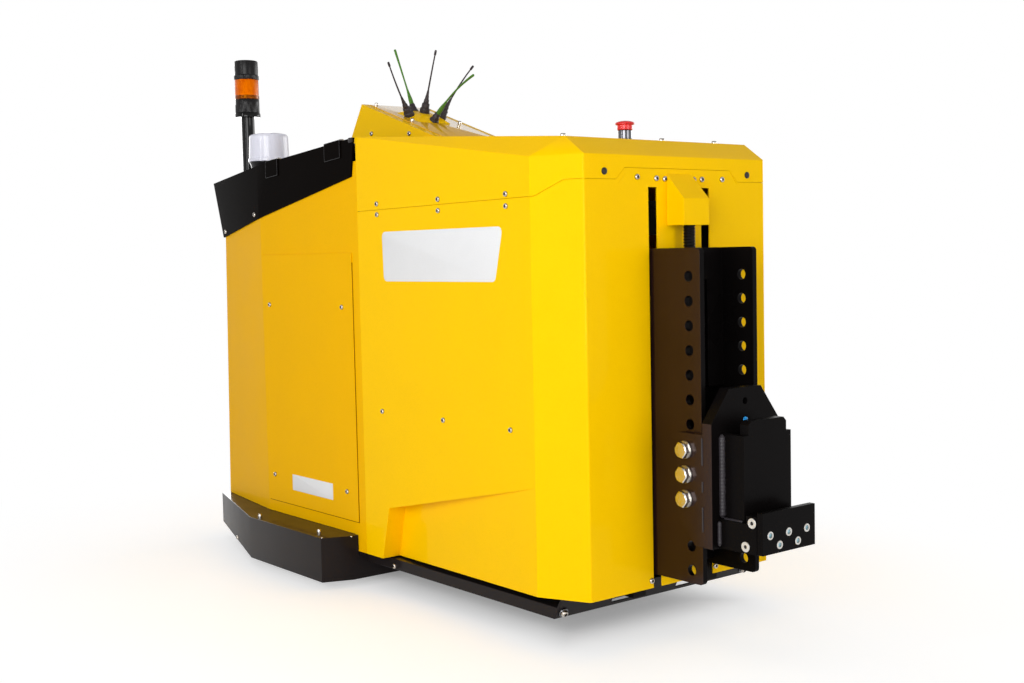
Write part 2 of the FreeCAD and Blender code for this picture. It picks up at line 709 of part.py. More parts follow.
def makeAntenna(name):
    (down, across), direction = antennas[name]
    reach = max(abs(down), abs(across), bossTop)
    up = bossHigh * (bossFoot - reach) / (bossFoot - bossTop)
    if "whip" in name:
        outline = [(0, 0), (13.5, 0), (12.5, 22), (10, 24), (9.2, 34), (6.5, 36), (2.2, 66),
                   (1.8, whipLen - 14), (3.1, whipLen - 13), (3.1, whipLen), (0, whipLen)]
    else:
        outline = [(0, 0), (12.5, 0), (12.5, 6), (8.2, 30), (6.2, 31), (5.8, 46), (2.4, 74),
                   (3.4, taperLen), (0, taperLen)]
    base = onBoss(down, across, up)
    axis = V(*direction).normalize()
    shape = turned(outline, 0, base - axis * 6, direction)
    # the foot is cut off along the side of the boss that it stands on, and stays
    # clear of the wedge below
    if reach > bossTop:
        run = V(0, math.copysign(1, across), 0)
        if abs(down) > abs(across):
            run = slopeDown * math.copysign(1, down)
        normal = run * bossHigh + slopeNormal * (bossFoot - bossTop)
    else:
        normal = V(slopeNormal)
    normal.normalize()
    shape = shape.cut(beyond(base + normal * seat, normal * -1, 400.0))
    return shape.cut(beyond(onBoss(down, across, 2 * seat), slopeNormal * -1, 400.0))


def makeDisplay():
    # operator screen on the rear slope of the housing
    foot = V(wedgeTail, 0, deckZ(wedgeTail))
    u = (V(wedgeRidge, 0, wedgeTop(wedgeRidge)) - foot).normalize()
    n = V(-u.z, 0, u.x)
    half = 90.0
    a = foot + u * 32 + n * seat - V(0, half, 0)
    b = a + u * 100
    return bentFace([a, b, b + n * 12, a + n * 12], [0, 0, 2, 2]).extrude(V(0, 2 * half, 0))


def makeEstop():
    x = -facetX - 52.5
    z = roofZ(x) + 1.5
    tall = 21.0
    stemR = 8.0
    collar = turned([(stemR + 0.2, 0), (16.2, 0), (16.2, 3), (15.2, 3), (15.2, tall),
                     (stemR + 0.2, tall)], [0, 0, 0, 0, 1, 0], (x, 0, z))
    top = tall + seat
    button = turned([(0, 2), (stemR, 2), (stemR, top), (17, top), (17.4, top + 11),
                     (21.5, top + 12.5), (21.5, top + 14.5), (14, top + 19), (0, top + 20.5)],
                    [0, 0, 0, 0, 0, 0, 0, 8, 0], (x, 0, z))
    return collar, button


def makeBeacon():
    deck = deckZ(lampX)
    footR = 34.0
    z = deckZ(lampX + footR) + seat / 2
    low, lensLow, capLow, top = deck + 188, deck + 241, deck + 295, deck + 349
    stand = turned([(0, z), (footR, z), (footR, z + 6), (poleR, z + 6), (poleR, low),
                    (lampR + 2.5, low), (lampR + 2.5, low + 14), (lampR, low + 18),
                    (lampR, lensLow), (0, lensLow)],
                   [0, 0, 0, 0, 0, 3, 0, 0, 0, 0], (lampX, lampY, 0))
    a = lensLow + seat
    lens = turned([(0, a), (lampR + 0.8, a), (lampR + 0.8, a + 9), (lampR - 1, a + 11),
                   (lampR - 1, capLow), (0, capLow)], 0, (lampX, lampY, 0))
    c = capLow + seat
    cap = turned([(0, c), (lampR + 0.5, c), (lampR + 0.5, c + 12), (lampR - 1, c + 14),
                  (lampR - 1, top), (0, top)],
                 [0, 0, 0, 0, 4, 0], (lampX, lampY, 0))
    return stand, lens, cap


def makeRadome():
    baseHigh = 41.0
    z = deckZ(domeX + domeR - 12) + seat / 2
    base = turned([(0, z), (domeR - 12, z), (domeR - 4, z + baseHigh), (0, z + baseHigh)],
                  0, (domeX, lampY, 0))
    low = z + baseHigh + seat
    dome = turned([(0, low), (domeR - 1, low), (domeR, low + 10), (domeR - 3, low + 12),
                   (domeR - 6, low + 74), (domeR - 20, low + 79), (0, low + 81)],
                  [0, 0, 0, 0, 9, 12, 0], (domeX, lampY, 0))
    return base, dome


# running gear
def tyre(radius, width, bore, x, y):
    half = width / 2
    shoulder = 9.0
    ring = [(bore, -half), (radius - shoulder, -half), (radius, 4 - half), (radius, half - 4),
            (radius - shoulder, half), (bore, half)]
    return turned(ring, [0, 0, 6, 6, 0, 0], (x, y, radius), (0, 1, 0))


def dish(rim, width, bore, hubR, hubHalf, x, y, radius):
    # wheel centre with a rim, a thinner web and a raised hub
    w = width / 2 - 6
    t = 9.0
    ring = [(bore, -hubHalf), (hubR, -hubHalf), (hubR + 3, -t), (rim - 14, -t), (rim - 8, -w),
            (rim, -w), (rim, w), (rim - 8, w), (rim - 14, t), (hubR + 3, t),
            (hubR, hubHalf), (bore, hubHalf)]
    return turned(ring, 0, (x, y, radius), (0, 1, 0))


def makeDriveHub():
    rim = driveR - 30 - seat
    bore = axleR + 0.1
    reach = 2 * driveHalf
    hub = cylinder(2 * axleR, (driveX, -reach, driveR), (0, 1, 0), 2 * reach)
    hub = hub.cut(cylinder(bore, (driveX, -reach - 6, driveR), (0, 1, 0), 2 * reach + 12))
    for s in (-1, 1):
        hub = hub.fuse(dish(rim, driveW, bore, 34, 18, driveX, s * driveHalf, driveR))
    return hub


def makeTurret():
    # fork of the powered steering: two cheeks, a crown and the slewing stem
    z = crownLow
    cheek = side([(driveX - 34, driveR - 44), (driveX + 34, driveR - 44),
                  (driveX + 60, z), (driveX - 60, z)], forkIn, forkIn + 14, [12, 12, 0, 0])
    crown = cylinder(150, (driveX, 0, z), (0, 0, 1), 20)
    stem = cylinder(40, (driveX, 0, z + 20), (0, 0, 1), 35)
    ring = cylinder(70, (driveX, 0, z + 43), (0, 0, 1), 12)
    axle = cylinder(axleR, (driveX, -forkIn - 10, driveR), (0, 1, 0), 2 * forkIn + 20)
    return both(cheek).fuse([crown, stem, ring, axle])


def makeDriveMotor():
    return cylinder(80, (driveX, 0, crownLow + 55 + seat), (0, 0, 1), 200)


def makeRearAxle():
    reach = rearTrackHalf + 45
    axle = cylinder(14, (rearX, -reach, rearR), (0, 1, 0), 2 * reach)
    beam = box(rearX - 25, rearX + 25, -beamOut - 5, beamOut + 5, rearR - 25, rearR + 25)
    carrier = both(box(rearX - 30, rearX + 30, beamOut + seat, beamOut + 12, rearR - 30,
                       beamHigh - 4))
    return axle.fuse([beam, carrier])


def makeRearHub(s):
    rim = rearR - 25 - seat
    hubHalf = rearW / 2 + 4
    return dish(rim, rearW, 14.1, 28, hubHalf, rearX, s * rearTrackHalf, rearR)


# heavy masses closed inside
def makeBattery():
    return box(seamX - 106, deckRear - 70, -200, 200, beamHigh + seat, 640)


def makeBallast():
    return box(tailX + 104, foldX + 77, -200, 200, beamHigh + seat, 420)


estopCollar, estopButton = makeEstop()
beaconStand, beaconLens, beaconCap = makeBeacon()
radomeBase, radome = makeRadome()
nodes = {
    "chassis_frame": makeChassis(),
    "base_box": makeBaseBox(),
    "mast_frame": makeMast(),
    "lift_cylinder": makeBarrel(),
    "lift_rod": makeRod(),
    "carriage": makeCarriage(),
    "hitch_bracket": makeBracket(),
    "hitch_arms": makeArms(),
    "hitch_bar": makeBar(),
    "main_cover": makeMainCover(),
    "hood": makeHood(),
    "rear_shell": makeRearShell(),
    "access_panel_right": accessPanel(),
    "access_panel_left": mirror(accessPanel()),
    "console_shield": makeShield(),
    "console_deck": makeDeck(),
    "antenna_housing": makeAntennaHousing(),
    "antenna_boss": makeBoss(),
    "operator_display": makeDisplay(),
    "estop_collar": estopCollar,
    "estop_button": estopButton,
    "beacon_stand": beaconStand,
    "beacon_lens": beaconLens,
    "beacon_cap": beaconCap,
    "radome_base": radomeBase,
    "radome": radome,
    "hose_cover": makeHoseCover(),
    "lift_hose": makeHose(),
    "drive_turret": makeTurret(),
    "drive_hub": makeDriveHub(),
    "drive_motor": makeDriveMotor(),
    "rear_axle": makeRearAxle(),
    "battery_block": makeBattery(),
    "ballast_block": makeBallast(),
}
for name in antennas:
    nodes[name] = makeAntenna(name)
for label, s in (("right", -1), ("left", 1)):
    nodes["drive_tyre_" + label] = tyre(driveR, driveW, driveR - 30, driveX, s * driveHalf)
    nodes["rear_tyre_" + label] = tyre(rearR, rearW, rearR - 25, rearX, s * rearTrackHalf)
    nodes["rear_hub_" + label] = makeRearHub(s)

# the frame's origin is put under the middle of the whole tug
tight = [s.optimalBoundingBox() for s in nodes.values()]
originShift = -(min(b.XMin for b in tight) + max(b.XMax for b in tight)) / 2.0
print("origin shift %.3f" % originShift)
for name in sorted(nodes):
    shape = nodes[name]
    save(name, shape, originShift)
    bb = shape.optimalBoundingBox()
    print("%-20s solids %d valid %s  x %.1f %.1f  y %.1f %.1f  z %.1f %.1f" % (
        name, len(shape.Solids), shape.isValid(), bb.XMin, bb.XMax, bb.YMin, bb.YMax,
        bb.ZMin, bb.ZMax))
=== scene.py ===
import math
import bpy
import bmesh
import numpy as np
from mathutils import Matrix, Vector


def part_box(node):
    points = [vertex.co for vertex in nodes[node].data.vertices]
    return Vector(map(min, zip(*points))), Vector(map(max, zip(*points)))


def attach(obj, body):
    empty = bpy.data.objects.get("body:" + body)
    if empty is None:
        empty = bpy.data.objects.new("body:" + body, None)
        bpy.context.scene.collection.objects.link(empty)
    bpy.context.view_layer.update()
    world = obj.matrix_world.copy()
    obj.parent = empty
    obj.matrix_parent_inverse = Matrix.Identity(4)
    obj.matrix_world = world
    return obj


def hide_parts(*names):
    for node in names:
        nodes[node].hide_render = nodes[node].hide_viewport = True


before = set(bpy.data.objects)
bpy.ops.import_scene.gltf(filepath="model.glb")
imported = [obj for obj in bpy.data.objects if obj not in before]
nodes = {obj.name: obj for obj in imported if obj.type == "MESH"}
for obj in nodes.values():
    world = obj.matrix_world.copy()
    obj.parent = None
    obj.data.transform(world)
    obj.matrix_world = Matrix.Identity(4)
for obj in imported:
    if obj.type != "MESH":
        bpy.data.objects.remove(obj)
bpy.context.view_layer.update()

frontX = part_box("main_cover")[1].x        # front face of the cover, every length below starts there
print("stage: frame loaded,", len(nodes), "nodes")
mm = 0.001


def place(x, y, z):
    # places are written in mm from the front face, the plane of symmetry and the floor
    return np.array([frontX + x * mm, y * mm, z * mm])


def placed(points):
    return np.array([place(*p) for p in points])


def unit(v):
    return v / np.linalg.norm(v, axis=-1, keepdims=True)


def middleOf(node):
    low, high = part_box(node)
    return (np.array(low) + np.array(high)) / 2


def extentOf(node):
    # size of a node's box along x, y and z, mm
    low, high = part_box(node)
    return (np.array(high) - np.array(low)) / mm


def shown(name, data):
    obj = bpy.data.objects.new(name, data)
    bpy.context.scene.collection.objects.link(obj)
    return obj


def tree(name):
    mat = bpy.data.materials.new(name)
    mat.use_nodes = True
    return mat, mat.node_tree, mat.node_tree.nodes["Principled BSDF"]


def fill(nt, node, sockets):
    # each input takes a value, or a link from another node's output
    for key, value in sockets.items():
        if isinstance(value, bpy.types.NodeSocket):
            nt.links.new(value, node.inputs[key])
        else:
            node.inputs[key].default_value = value


def addNode(nt, kind, sockets, **settings):
    node = nt.nodes.new("ShaderNode" + kind)
    for key, value in settings.items():
        setattr(node, key, value)
    fill(nt, node, sockets)
    return node.outputs


def noiseAt(nt, scale, detail=3.0, rough=0.5, stretch=(1, 1, 1)):
    coords = addNode(nt, "TexCoord", {})["Object"]
    mapped = addNode(nt, "Mapping", {"Scale": stretch, "Vector": coords})["Vector"]
    return addNode(nt, "TexNoise", {"Scale": scale, "Detail": detail, "Roughness": rough,
                                    "Vector": mapped})["Fac"]


def ramp(nt, fac, stops):
    node = nt.nodes.new("ShaderNodeValToRGB")
    first, last = node.color_ramp.elements[0], node.color_ramp.elements[1]
    first.position, first.color = stops[0][0], (*stops[0][1], 1)
    last.position, last.color = stops[-1][0], (*stops[-1][1], 1)
    for at, colour in stops[1:-1]:
        node.color_ramp.elements.new(at).color = (*colour, 1)
    fill(nt, node, {"Fac": fac})
    return node.outputs["Color"]


def spread(nt, value, low, high, start=0.35, stop=0.65, **settings):
    # low up to start, then rising to high at stop
    return addNode(nt, "MapRange", {"Value": value, "From Min": start, "From Max": stop,
                                    "To Min": low, "To Max": high}, **settings)["Result"]


def figure(nt, operation, a, b=0.0):
    return addNode(nt, "Math", {0: a, 1: b}, operation=operation)["Value"]


def relief(nt, shader, layers):
    # layers of (height source, strength, depth in metres), one bump on top of the other
    below = {}
    for height, strength, depth in layers:
        below = {"Normal": addNode(nt, "Bump", {"Strength": strength, "Distance": depth,
                                                "Height": height, **below})["Normal"]}
    fill(nt, shader, below)


def shade(colour, k):
    return tuple(min(1.0, max(0.0, c * k)) for c in colour)


def grey(v):
    return (v, v, v)


# noise scales per metre and bump depths in metres
skin = {"cloud": 7.0, "fleck": 420.0, "peel": 260.0, "peelDepth": 0.0004, "grainDepth": 0.0003}
metal = {"cloud": 90.0, "scratch": 900.0, "strength": 0.12, "depth": 0.0002}
glass = {"cloud": 60.0, "ripple": 500.0, "strength": 0.08, "depth": 0.0002, "ior": 1.49,
         "gloss": 0.6, "glossTint": (1.0, 0.30, 0.0, 1.0)}


def coated(name, colour, rough, coat=0.0, coatRough=0.05, peel=0.25, grain=0.0, mottle=0.06,
           grainScale=1500.0, specular=0.5, coatIor=1.5, glossTint=(1, 1, 1)):
    # painted or moulded skin: cloudy colour, uneven gloss, orange peel and a finer grain
    mat, nt, shader = tree(name)
    cloud = noiseAt(nt, skin["cloud"], 5.0, 0.6)
    base = ramp(nt, cloud, [(0.3, shade(colour, 1 - mottle)), (0.5, colour),
                            (0.72, shade(colour, 1 + mottle * 0.7))])
    speck = ramp(nt, noiseAt(nt, skin["fleck"], 2.0), [(0.25, grey(0.90)), (0.5, grey(1)),
                                                       (0.8, grey(1))])
    mixed = addNode(nt, "Mix", {"Factor": 0.5, "A": base, "B": speck}, data_type="RGBA",
                    blend_type="MULTIPLY")["Result"]
    fill(nt, shader, {"Base Color": mixed, "Specular IOR Level": specular,
                      "Roughness": spread(nt, cloud, rough * 0.88, rough * 1.14),
                      "Specular Tint": (*glossTint, 1), "Coat Weight": coat,
                      "Coat Roughness": coatRough, "Coat IOR": coatIor})
    layers = [(noiseAt(nt, skin["peel"], 2.0), peel, skin["peelDepth"])]
    if grain > 0:
        layers.append((noiseAt(nt, grainScale, 3.0, 0.6), grain, skin["grainDepth"]))
    relief(nt, shader, layers)
    return mat


def plated(name, colour, rough, brush=(1, 1, 1), tint=None):
    # zinc or chrome: clouded tint, fine scratches along one way
    mat, nt, shader = tree(name)
    cloud = noiseAt(nt, metal["cloud"], 4.0, 0.6)
    scratch = noiseAt(nt, metal["scratch"], 4.0, 0.7, brush)
    other = tint or shade(colour, 0.86)
    fill(nt, shader, {"Base Color": ramp(nt, cloud, [(0.3, colour), (0.7, other)]),
                      "Roughness": spread(nt, scratch, rough * 0.7, rough * 1.5),
                      "Metallic": 1.0})
    relief(nt, shader, [(scratch, metal["strength"], metal["depth"])])
    return mat


yellowPaint = coated("gloss yellow paint", (0.98, 0.575, 0.0), 0.40, coat=0.20, coatRough=0.03,
                     coatIor=1.22, peel=0.05, grain=0.02, mottle=0.015, specular=0.02)
# the same yellow paint made darker and more orange: painted shade for the rear shell and its side
# panels
shadedYellow = coated("gloss yellow paint with painted shade", (0.90, 0.47, 0.0), 0.40, coat=0.11,
                    coatRough=0.03, coatIor=1.22, peel=0.05, grain=0.02, mottle=0.015,
                    specular=0.01)
# black paint with its colour and gloss tinted red-brown: a painted reflection of the yellow cover,
# used on the outer cheeks
warmReflectionBlack = coated("satin black paint with painted warm reflection", (0.013, 0.0050, 0.004), 0.24, peel=0.05, grain=0.04,
                    mottle=0.12, specular=0.34, glossTint=(1.0, 0.80, 0.80))
mastBlack = coated("satin black mast paint", (0.006, 0.0045, 0.004), 0.34, peel=0.10, grain=0.05,
                   mottle=0.16, specular=0.06)
hitchBlack = coated("satin black hitch paint", (0.0036, 0.0029, 0.0029), 0.30, peel=0.14,
                    grain=0.06, mottle=0.16, specular=0.035)
shieldBlack = coated("gloss black sheet", (0.0030, 0.0020, 0.0016), 0.20, peel=0.03, grain=0.02,
                     mottle=0.1, specular=0.006)
# a lighter, glossier black for rods along edges: painted highlights
edgeHighlightBlack = coated("painted highlight on black edges", (0.009, 0.008, 0.009), 0.30, peel=0.1, grain=0.1,
                  mottle=0.3, specular=0.22)
baseBlack = coated("dark textured powder coat", (0.016, 0.0125, 0.0125), 0.36, coat=0.48,
                   coatRough=0.06, coatIor=1.22, peel=0.10, grain=0.16, mottle=0.10,
                   grainScale=900.0, specular=0.02)
deckBlack = coated("console deck grain", (0.018, 0.018, 0.019), 0.6, peel=0.3, grain=0.5,
                   mottle=0.1, grainScale=700.0, specular=0.3)
mouldBlack = coated("moulded black", (0.0085, 0.0078, 0.0082), 0.26, peel=0.02, grain=0.04,
                    mottle=0.10, specular=0.16)
poleBlack = coated("gloss black tube", (0.003, 0.003, 0.003), 0.05, peel=0.0, grain=0.01,
                   mottle=0.1, specular=0.20)
antennaBlack = coated("antenna rubber", (0.030, 0.023, 0.026), 0.5, peel=0.2, grain=0.4,
                      mottle=0.2, specular=0.3)
antennaGreen = coated("antenna green sleeve", (0.070, 0.200, 0.022), 0.42, peel=0.1, grain=0.2,
                      mottle=0.14, specular=0.25)
domeWhite = coated("moulded white", (0.74, 0.74, 0.84), 0.30, coat=0.5, coatRough=0.06,
                   peel=0.05, grain=0.05, mottle=0.02, specular=0.3)
buttonRed = coated("moulded red", (0.72, 0.020, 0.020), 0.34, coat=0.3, coatRough=0.1, peel=0.01,
                   grain=0.03, mottle=0.04, specular=0.3)
capBlue = coated("blue plug", (0.0, 0.27, 0.68), 0.4, peel=0.1, grain=0.2, mottle=0.08)
# black for the real hole plugs and end caps, and also painted shade in the screw sockets
plugAndShadeBlack = coated("black hole plug and painted socket shade", (0.014, 0.010, 0.010), 0.4, peel=0.1, grain=0.3, mottle=0.2,
                   specular=0.3)
hubPaint = coated("grey hub paint", (0.10, 0.105, 0.115), 0.5, peel=0.4, grain=0.5, mottle=0.18,
                  grainScale=500.0)
castPaint = coated("casting paint", (0.045, 0.046, 0.05), 0.55, peel=0.6, grain=0.7, mottle=0.2,
                   grainScale=400.0)
batteryCase = coated("battery case", (0.05, 0.055, 0.07), 0.5, peel=0.2, grain=0.5, mottle=0.1)
tyreRubber = coated("solid tyre", (0.022, 0.021, 0.022), 0.72, peel=0.5, grain=0.8, mottle=0.25,
                    grainScale=700.0, specular=0.3)
hoseRubber = coated("conduit", (0.006, 0.005, 0.005), 0.34, peel=0.1, grain=0.2, mottle=0.2,
                    specular=0.10)
screenGlass = coated("blank screen", (0.004, 0.006, 0.009), 0.10, coat=0.8, coatRough=0.02,
                     peel=0.02, mottle=0.1)
badgeFace = coated("blank pale plate", (0.76, 0.765, 0.775), 0.34, coat=0.3, coatRough=0.08,
                   peel=0.04, grain=0.10, mottle=0.03, grainScale=2200.0, specular=0.3)
lidYellow = coated("polished yellow lid", (0.80, 0.43, 0.0), 0.35, coat=1.0, coatRough=0.02,
                   coatIor=1.31, peel=0.02, grain=0.02, mottle=0.015, specular=0.02)
zinc = plated("zinc plated steel", (0.46, 0.46, 0.47), 0.22, tint=(0.36, 0.34, 0.31))
bolt = plated("bright bolt steel", (0.70, 0.69, 0.66), 0.20, tint=(0.60, 0.57, 0.52))
screwSteel = plated("plated screw steel", (0.62, 0.59, 0.55), 0.17, tint=(0.36, 0.31, 0.26))
flatScrew = plated("matt zinc screw", (0.72, 0.71, 0.70), 0.42, tint=(0.66, 0.64, 0.60))
zincBlue = plated("blue passivated steel", (0.55, 0.76, 0.86), 0.24, tint=(0.22, 0.50, 0.66))
chrome = plated("chrome", (0.50, 0.50, 0.52), 0.10, brush=(1, 1, 12))
darkChrome = plated("dark chrome ring", (0.13, 0.13, 0.14), 0.10, brush=(1, 1, 12))
turnedSteel = plated("turned steel", (0.50, 0.50, 0.52), 0.28, brush=(1, 12, 1))
# dark amber that stands for the shade in a panel gap: painted shade
seamShade = coated("painted shade in a panel gap", (0.22, 0.075, 0.0), 0.6, peel=0.1, mottle=0.1,
                   specular=0.05)
weldSteel = coated("painted weld bead", (0.030, 0.026, 0.030), 0.36, peel=0.6, grain=0.4,
                   mottle=0.4, specular=0.3)


def amberGlass(name, low, high, clear, rough):
    # amber moulding, its colour and roughness clouded by noise, not by the wall's thickness
    mat, nt, shader = tree(name)
    cloud = noiseAt(nt, glass["cloud"])
    fill(nt, shader, {"Base Color": ramp(nt, cloud, [(0.3, low), (0.7, high)]),
                      "Roughness": spread(nt, cloud, rough, rough * 1.7),
                      "Transmission Weight": clear, "IOR": glass["ior"],
                      "Specular IOR Level": glass["gloss"], "Specular Tint": glass["glossTint"]})
    relief(nt, shader, [(noiseAt(nt, glass["ripple"], 2.0), glass["strength"], glass["depth"])])
    return mat


amberLens = amberGlass("amber lens", (0.68, 0.105, 0.0), (0.82, 0.165, 0.0), 0.14, 0.16)
amberRing = amberGlass("dark amber ring", (0.16, 0.035, 0.004), (0.30, 0.06, 0.004), 0.35, 0.06)

finishes = {name: material for material, names in (
    (baseBlack, "chassis_frame base_box"),
    (mastBlack, "mast_frame lift_cylinder"),
    (hitchBlack, "carriage hitch_bracket hitch_arms hitch_bar"),
    (yellowPaint, "main_cover hood antenna_housing antenna_boss hose_cover"),
    (shadedYellow, "rear_shell access_panel_right access_panel_left"),
    (shieldBlack, "console_shield"),
    (deckBlack, "console_deck"),
    (mouldBlack, "operator_display beacon_stand beacon_cap radome_base"),
    (chrome, "lift_rod"),
    (darkChrome, "estop_collar"),
    (buttonRed, "estop_button"),
    (amberLens, "beacon_lens"),
    (domeWhite, "radome"),
    (hoseRubber, "lift_hose"),
    (castPaint, "drive_turret drive_motor ballast_block"),
    (hubPaint, "drive_hub rear_hub_right rear_hub_left"),
    (tyreRubber, "drive_tyre_right drive_tyre_left rear_tyre_right rear_tyre_left"),
    (turnedSteel, "rear_axle"),
    (batteryCase, "battery_block"),
    (antennaBlack, "antenna_whip_1 antenna_whip_2 antenna_whip_3"),
    (antennaGreen, "antenna_taper_1 antenna_taper_2"),
) for name in names.split()}


def dress(obj, material):
    obj.data.materials.clear()
    obj.data.materials.append(material)


for name, obj in nodes.items():
    dress(obj, finishes[name])
print("stage: materials on", len(nodes), "nodes")


# A patch is (points, faces). Rows run along the first parameter, columns along the second.
def gridPatch(points, capStart=True, capEnd=True, closed=False):
    # quad (i, j) joins points j, j+1 of rows i, i+1; each row closes on itself, and closed
    # joins the last row to the first
    rows, cols = points.shape[:2]
    i, j = np.meshgrid(np.arange(rows if closed else rows - 1), np.arange(cols), indexing="ij")
    k = (j + 1) % cols
    m = (i + 1) % rows
    quads = np.stack([i * cols + j, i * cols + k, m * cols + k, m * cols + j], -1)
    faces = quads.reshape(-1, 4).tolist()
    if capStart:
        faces.append(np.arange(cols)[::-1].tolist())
    if capEnd:
        faces.append((np.arange(cols) + (rows - 1) * cols).tolist())
    return points.reshape(-1, 3), faces


def turnedPatch(profile, count, capStart=True, capEnd=True, corner=None, wave=None,
                closed=False):
    # point = (r cos t, r sin t, h) for each (r, h) of the profile; corner marks the rows that
    # are hexagonal, and wave(t) times the row's depth is added to r
    t = np.linspace(0, 2 * np.pi, count, endpoint=False)
    profile = np.asarray(profile, float)
    r = profile[:, :1] * np.ones((1, count))
    if corner is not None:
        r = np.where(corner[:, None], r * hexFactor(t)[None, :], r)
    if wave is not None:
        depth, shape = wave
        r = r + np.asarray(depth)[:, None] * shape(t)[None, :]
    h = profile[:, 1:] * np.ones((1, count))
    points = np.stack([r * np.cos(t), r * np.sin(t), h], -1)
    return gridPatch(points, capStart, capEnd, closed)


def hexFactor(t):
    # radius of a hexagon of unit half width across flats at angle t
    return 1.0 / np.cos((t + np.pi / 6) % (np.pi / 3) - np.pi / 6)


def alongPath(path, radius, count):
    # tube: ring j of row i = path[i] + radius[i] (cos t side + sin t up), square to the path
    path = np.asarray(path, float)
    radius = np.asarray(radius, float) * np.ones(len(path))
    run = unit(np.gradient(path, axis=0))
    guide = np.array([0.0, 1.0, 0.0]) if abs(run[0][1]) < 0.8 else np.array([1.0, 0.0, 0.0])
    across = unit(np.cross(run, guide))
    up = np.cross(run, across)
    t = np.linspace(0, 2 * np.pi, count, endpoint=False)
    ring = across[:, None] * np.cos(t)[None, :, None] + up[:, None] * np.sin(t)[None, :, None]
    return gridPatch(path[:, None] + ring * radius[:, None, None])


def copiesOf(patch, centres, axes, spin=0.0):
    # copy k of point p = centre k + p.x side + p.y up + p.z axis k, lengths in mm
    points, faces = patch
    axes = unit(np.asarray(axes, float))
    guide = np.where(np.abs(axes[:, 2:]) < 0.9, [[0.0, 0.0, 1.0]], [[1.0, 0.0, 0.0]])
    side = unit(np.cross(guide, axes))
    up = np.cross(axes, side)
    c, s = math.cos(spin), math.sin(spin)
    side, up = side * c + up * s, up * c - side * s
    turnTo = np.stack([side, up, axes], 1)
    out = np.einsum("pi,kij->kpj", points * mm, turnTo) + np.asarray(centres)[:, None]
    step = len(points)
    shifted = [[v + k * step for v in f] for k in range(len(centres)) for f in faces]
    return out.reshape(-1, 3), shifted


def joined(patches):
    points, faces, step = [], [], 0
    for p, f in patches:
        points.append(p)
        faces.extend([[v + step for v in face] for face in f])
        step += len(p)
    return np.concatenate(points), faces


def seat(obj, material, body, replaces):
    dress(obj, material)
    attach(obj, body)
    if replaces:
        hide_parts(*replaces)
    return obj


def makePiece(name, patch, material, body="chassis", sharp=35.0, replaces=(), recalc=False):
    points, faces = patch
    mesh = bpy.data.meshes.new(name)
    mesh.from_pydata(points.tolist(), [], faces)
    if recalc:
        bm = bmesh.new()
        bm.from_mesh(mesh)
        bmesh.ops.recalc_face_normals(bm, faces=bm.faces)
        bm.to_mesh(mesh)
        bm.free()
    mesh.validate()
    mesh.shade_smooth()
    mesh.set_sharp_from_angle(angle=math.radians(sharp))
    return seat(shown(name, mesh), material, body, replaces)


# doubles are merged within a distance in metres; angles in degrees
edges = {"merge": 2e-6, "flat": 0.4, "sharp": 28.0, "segments": 2}


def softened(node, width, body):
    # copy of a sheet or plate node: doubles merged, flat faces joined, then its edges broken
    mesh = nodes[node].data.copy()
    mesh.name = node + "_edged"
    bm = bmesh.new()
    bm.from_mesh(mesh)
    bmesh.ops.remove_doubles(bm, verts=bm.verts, dist=edges["merge"])
    bmesh.ops.dissolve_limit(bm, angle_limit=math.radians(edges["flat"]), verts=bm.verts,
                             edges=bm.edges)
    bm.to_mesh(mesh)
    bm.free()
    mesh.shade_smooth()
    obj = shown(mesh.name, mesh)
    bevel = obj.modifiers.new("edges", "BEVEL")
    bevel.width = width
    bevel.segments = edges["segments"]
    bevel.limit_method = "ANGLE"
    bevel.angle_limit = math.radians(edges["sharp"])
    bevel.use_clamp_overlap = True
    even = obj.modifiers.new("normals", "WEIGHTED_NORMAL")     # flat faces stay flat
    even.weight = 100
    even.keep_sharp = True
    return seat(obj, finishes[node], body, [node])


# sheet and plate edges: width in metres that each node's edges are broken by
edgeWidths = {
    "main_cover": 0.0014, "hood": 0.0018, "rear_shell": 0.0012, "hose_cover": 0.0010,
    "access_panel_right": 0.0008, "access_panel_left": 0.0008, "antenna_housing": 0.0012,
    "antenna_boss": 0.0014, "console_shield": 0.0011, "base_box": 0.0014,
    "carriage": 0.0012, "hitch_bracket": 0.0014, "hitch_arms": 0.0014, "hitch_bar": 0.0014,
    "mast_frame": 0.0010, "operator_display": 0.0012, "chassis_frame": 0.0010,
    "console_deck": 0.0008,
}
movingNodes = {"carriage", "hitch_bracket", "hitch_arms", "hitch_bar"}
# the outer cheeks of these two are glossier, and their black is tinted red-brown as a painted
# reflection of the yellow cover, from this |y| in metres
glossAndReflectionTintFrom = {"carriage": 0.0846, "hitch_bracket": 0.0925}
for node, width in edgeWidths.items():
    obj = softened(node, width, "lift_carriage" if node in movingNodes else "chassis")
    if node in glossAndReflectionTintFrom:
        middles = np.empty(len(obj.data.polygons) * 3)
        obj.data.polygons.foreach_get("center", middles)
        obj.data.materials.append(warmReflectionBlack)
        cheek = np.abs(middles.reshape(-1, 3)[:, 1]) > glossAndReflectionTintFrom[node]
        obj.data.polygons.foreach_set("material_index", cheek.astype(np.int32))
print("stage: edges broken on", len(edgeWidths), "nodes")


def fasten(name, spots, axes, patch, material, body="chassis", spin=0.0):
    # one mesh for a whole set of equal fasteners, places in mm
    return makePiece(name, copiesOf(patch, placed(spots), axes, spin), material, body, sharp=40)


def bothSides(spots, axis=(0, -1, 0)):
    # places and axes on the right, then their mirror images on the left
    spots, axis = np.array(spots, float), np.array(axis, float)
    flip = np.array([1, -1, 1])
    return (np.concatenate([spots, spots * flip]),
            np.repeat([axis, axis * flip], len(spots), axis=0))


def facing(spots, axis=(1, 0, 0)):
    return spots, [axis] * len(spots)


# cover screws
coverScrew = {"radius": 6.4, "head": 4.4, "socket": 3.0, "faces": 12}


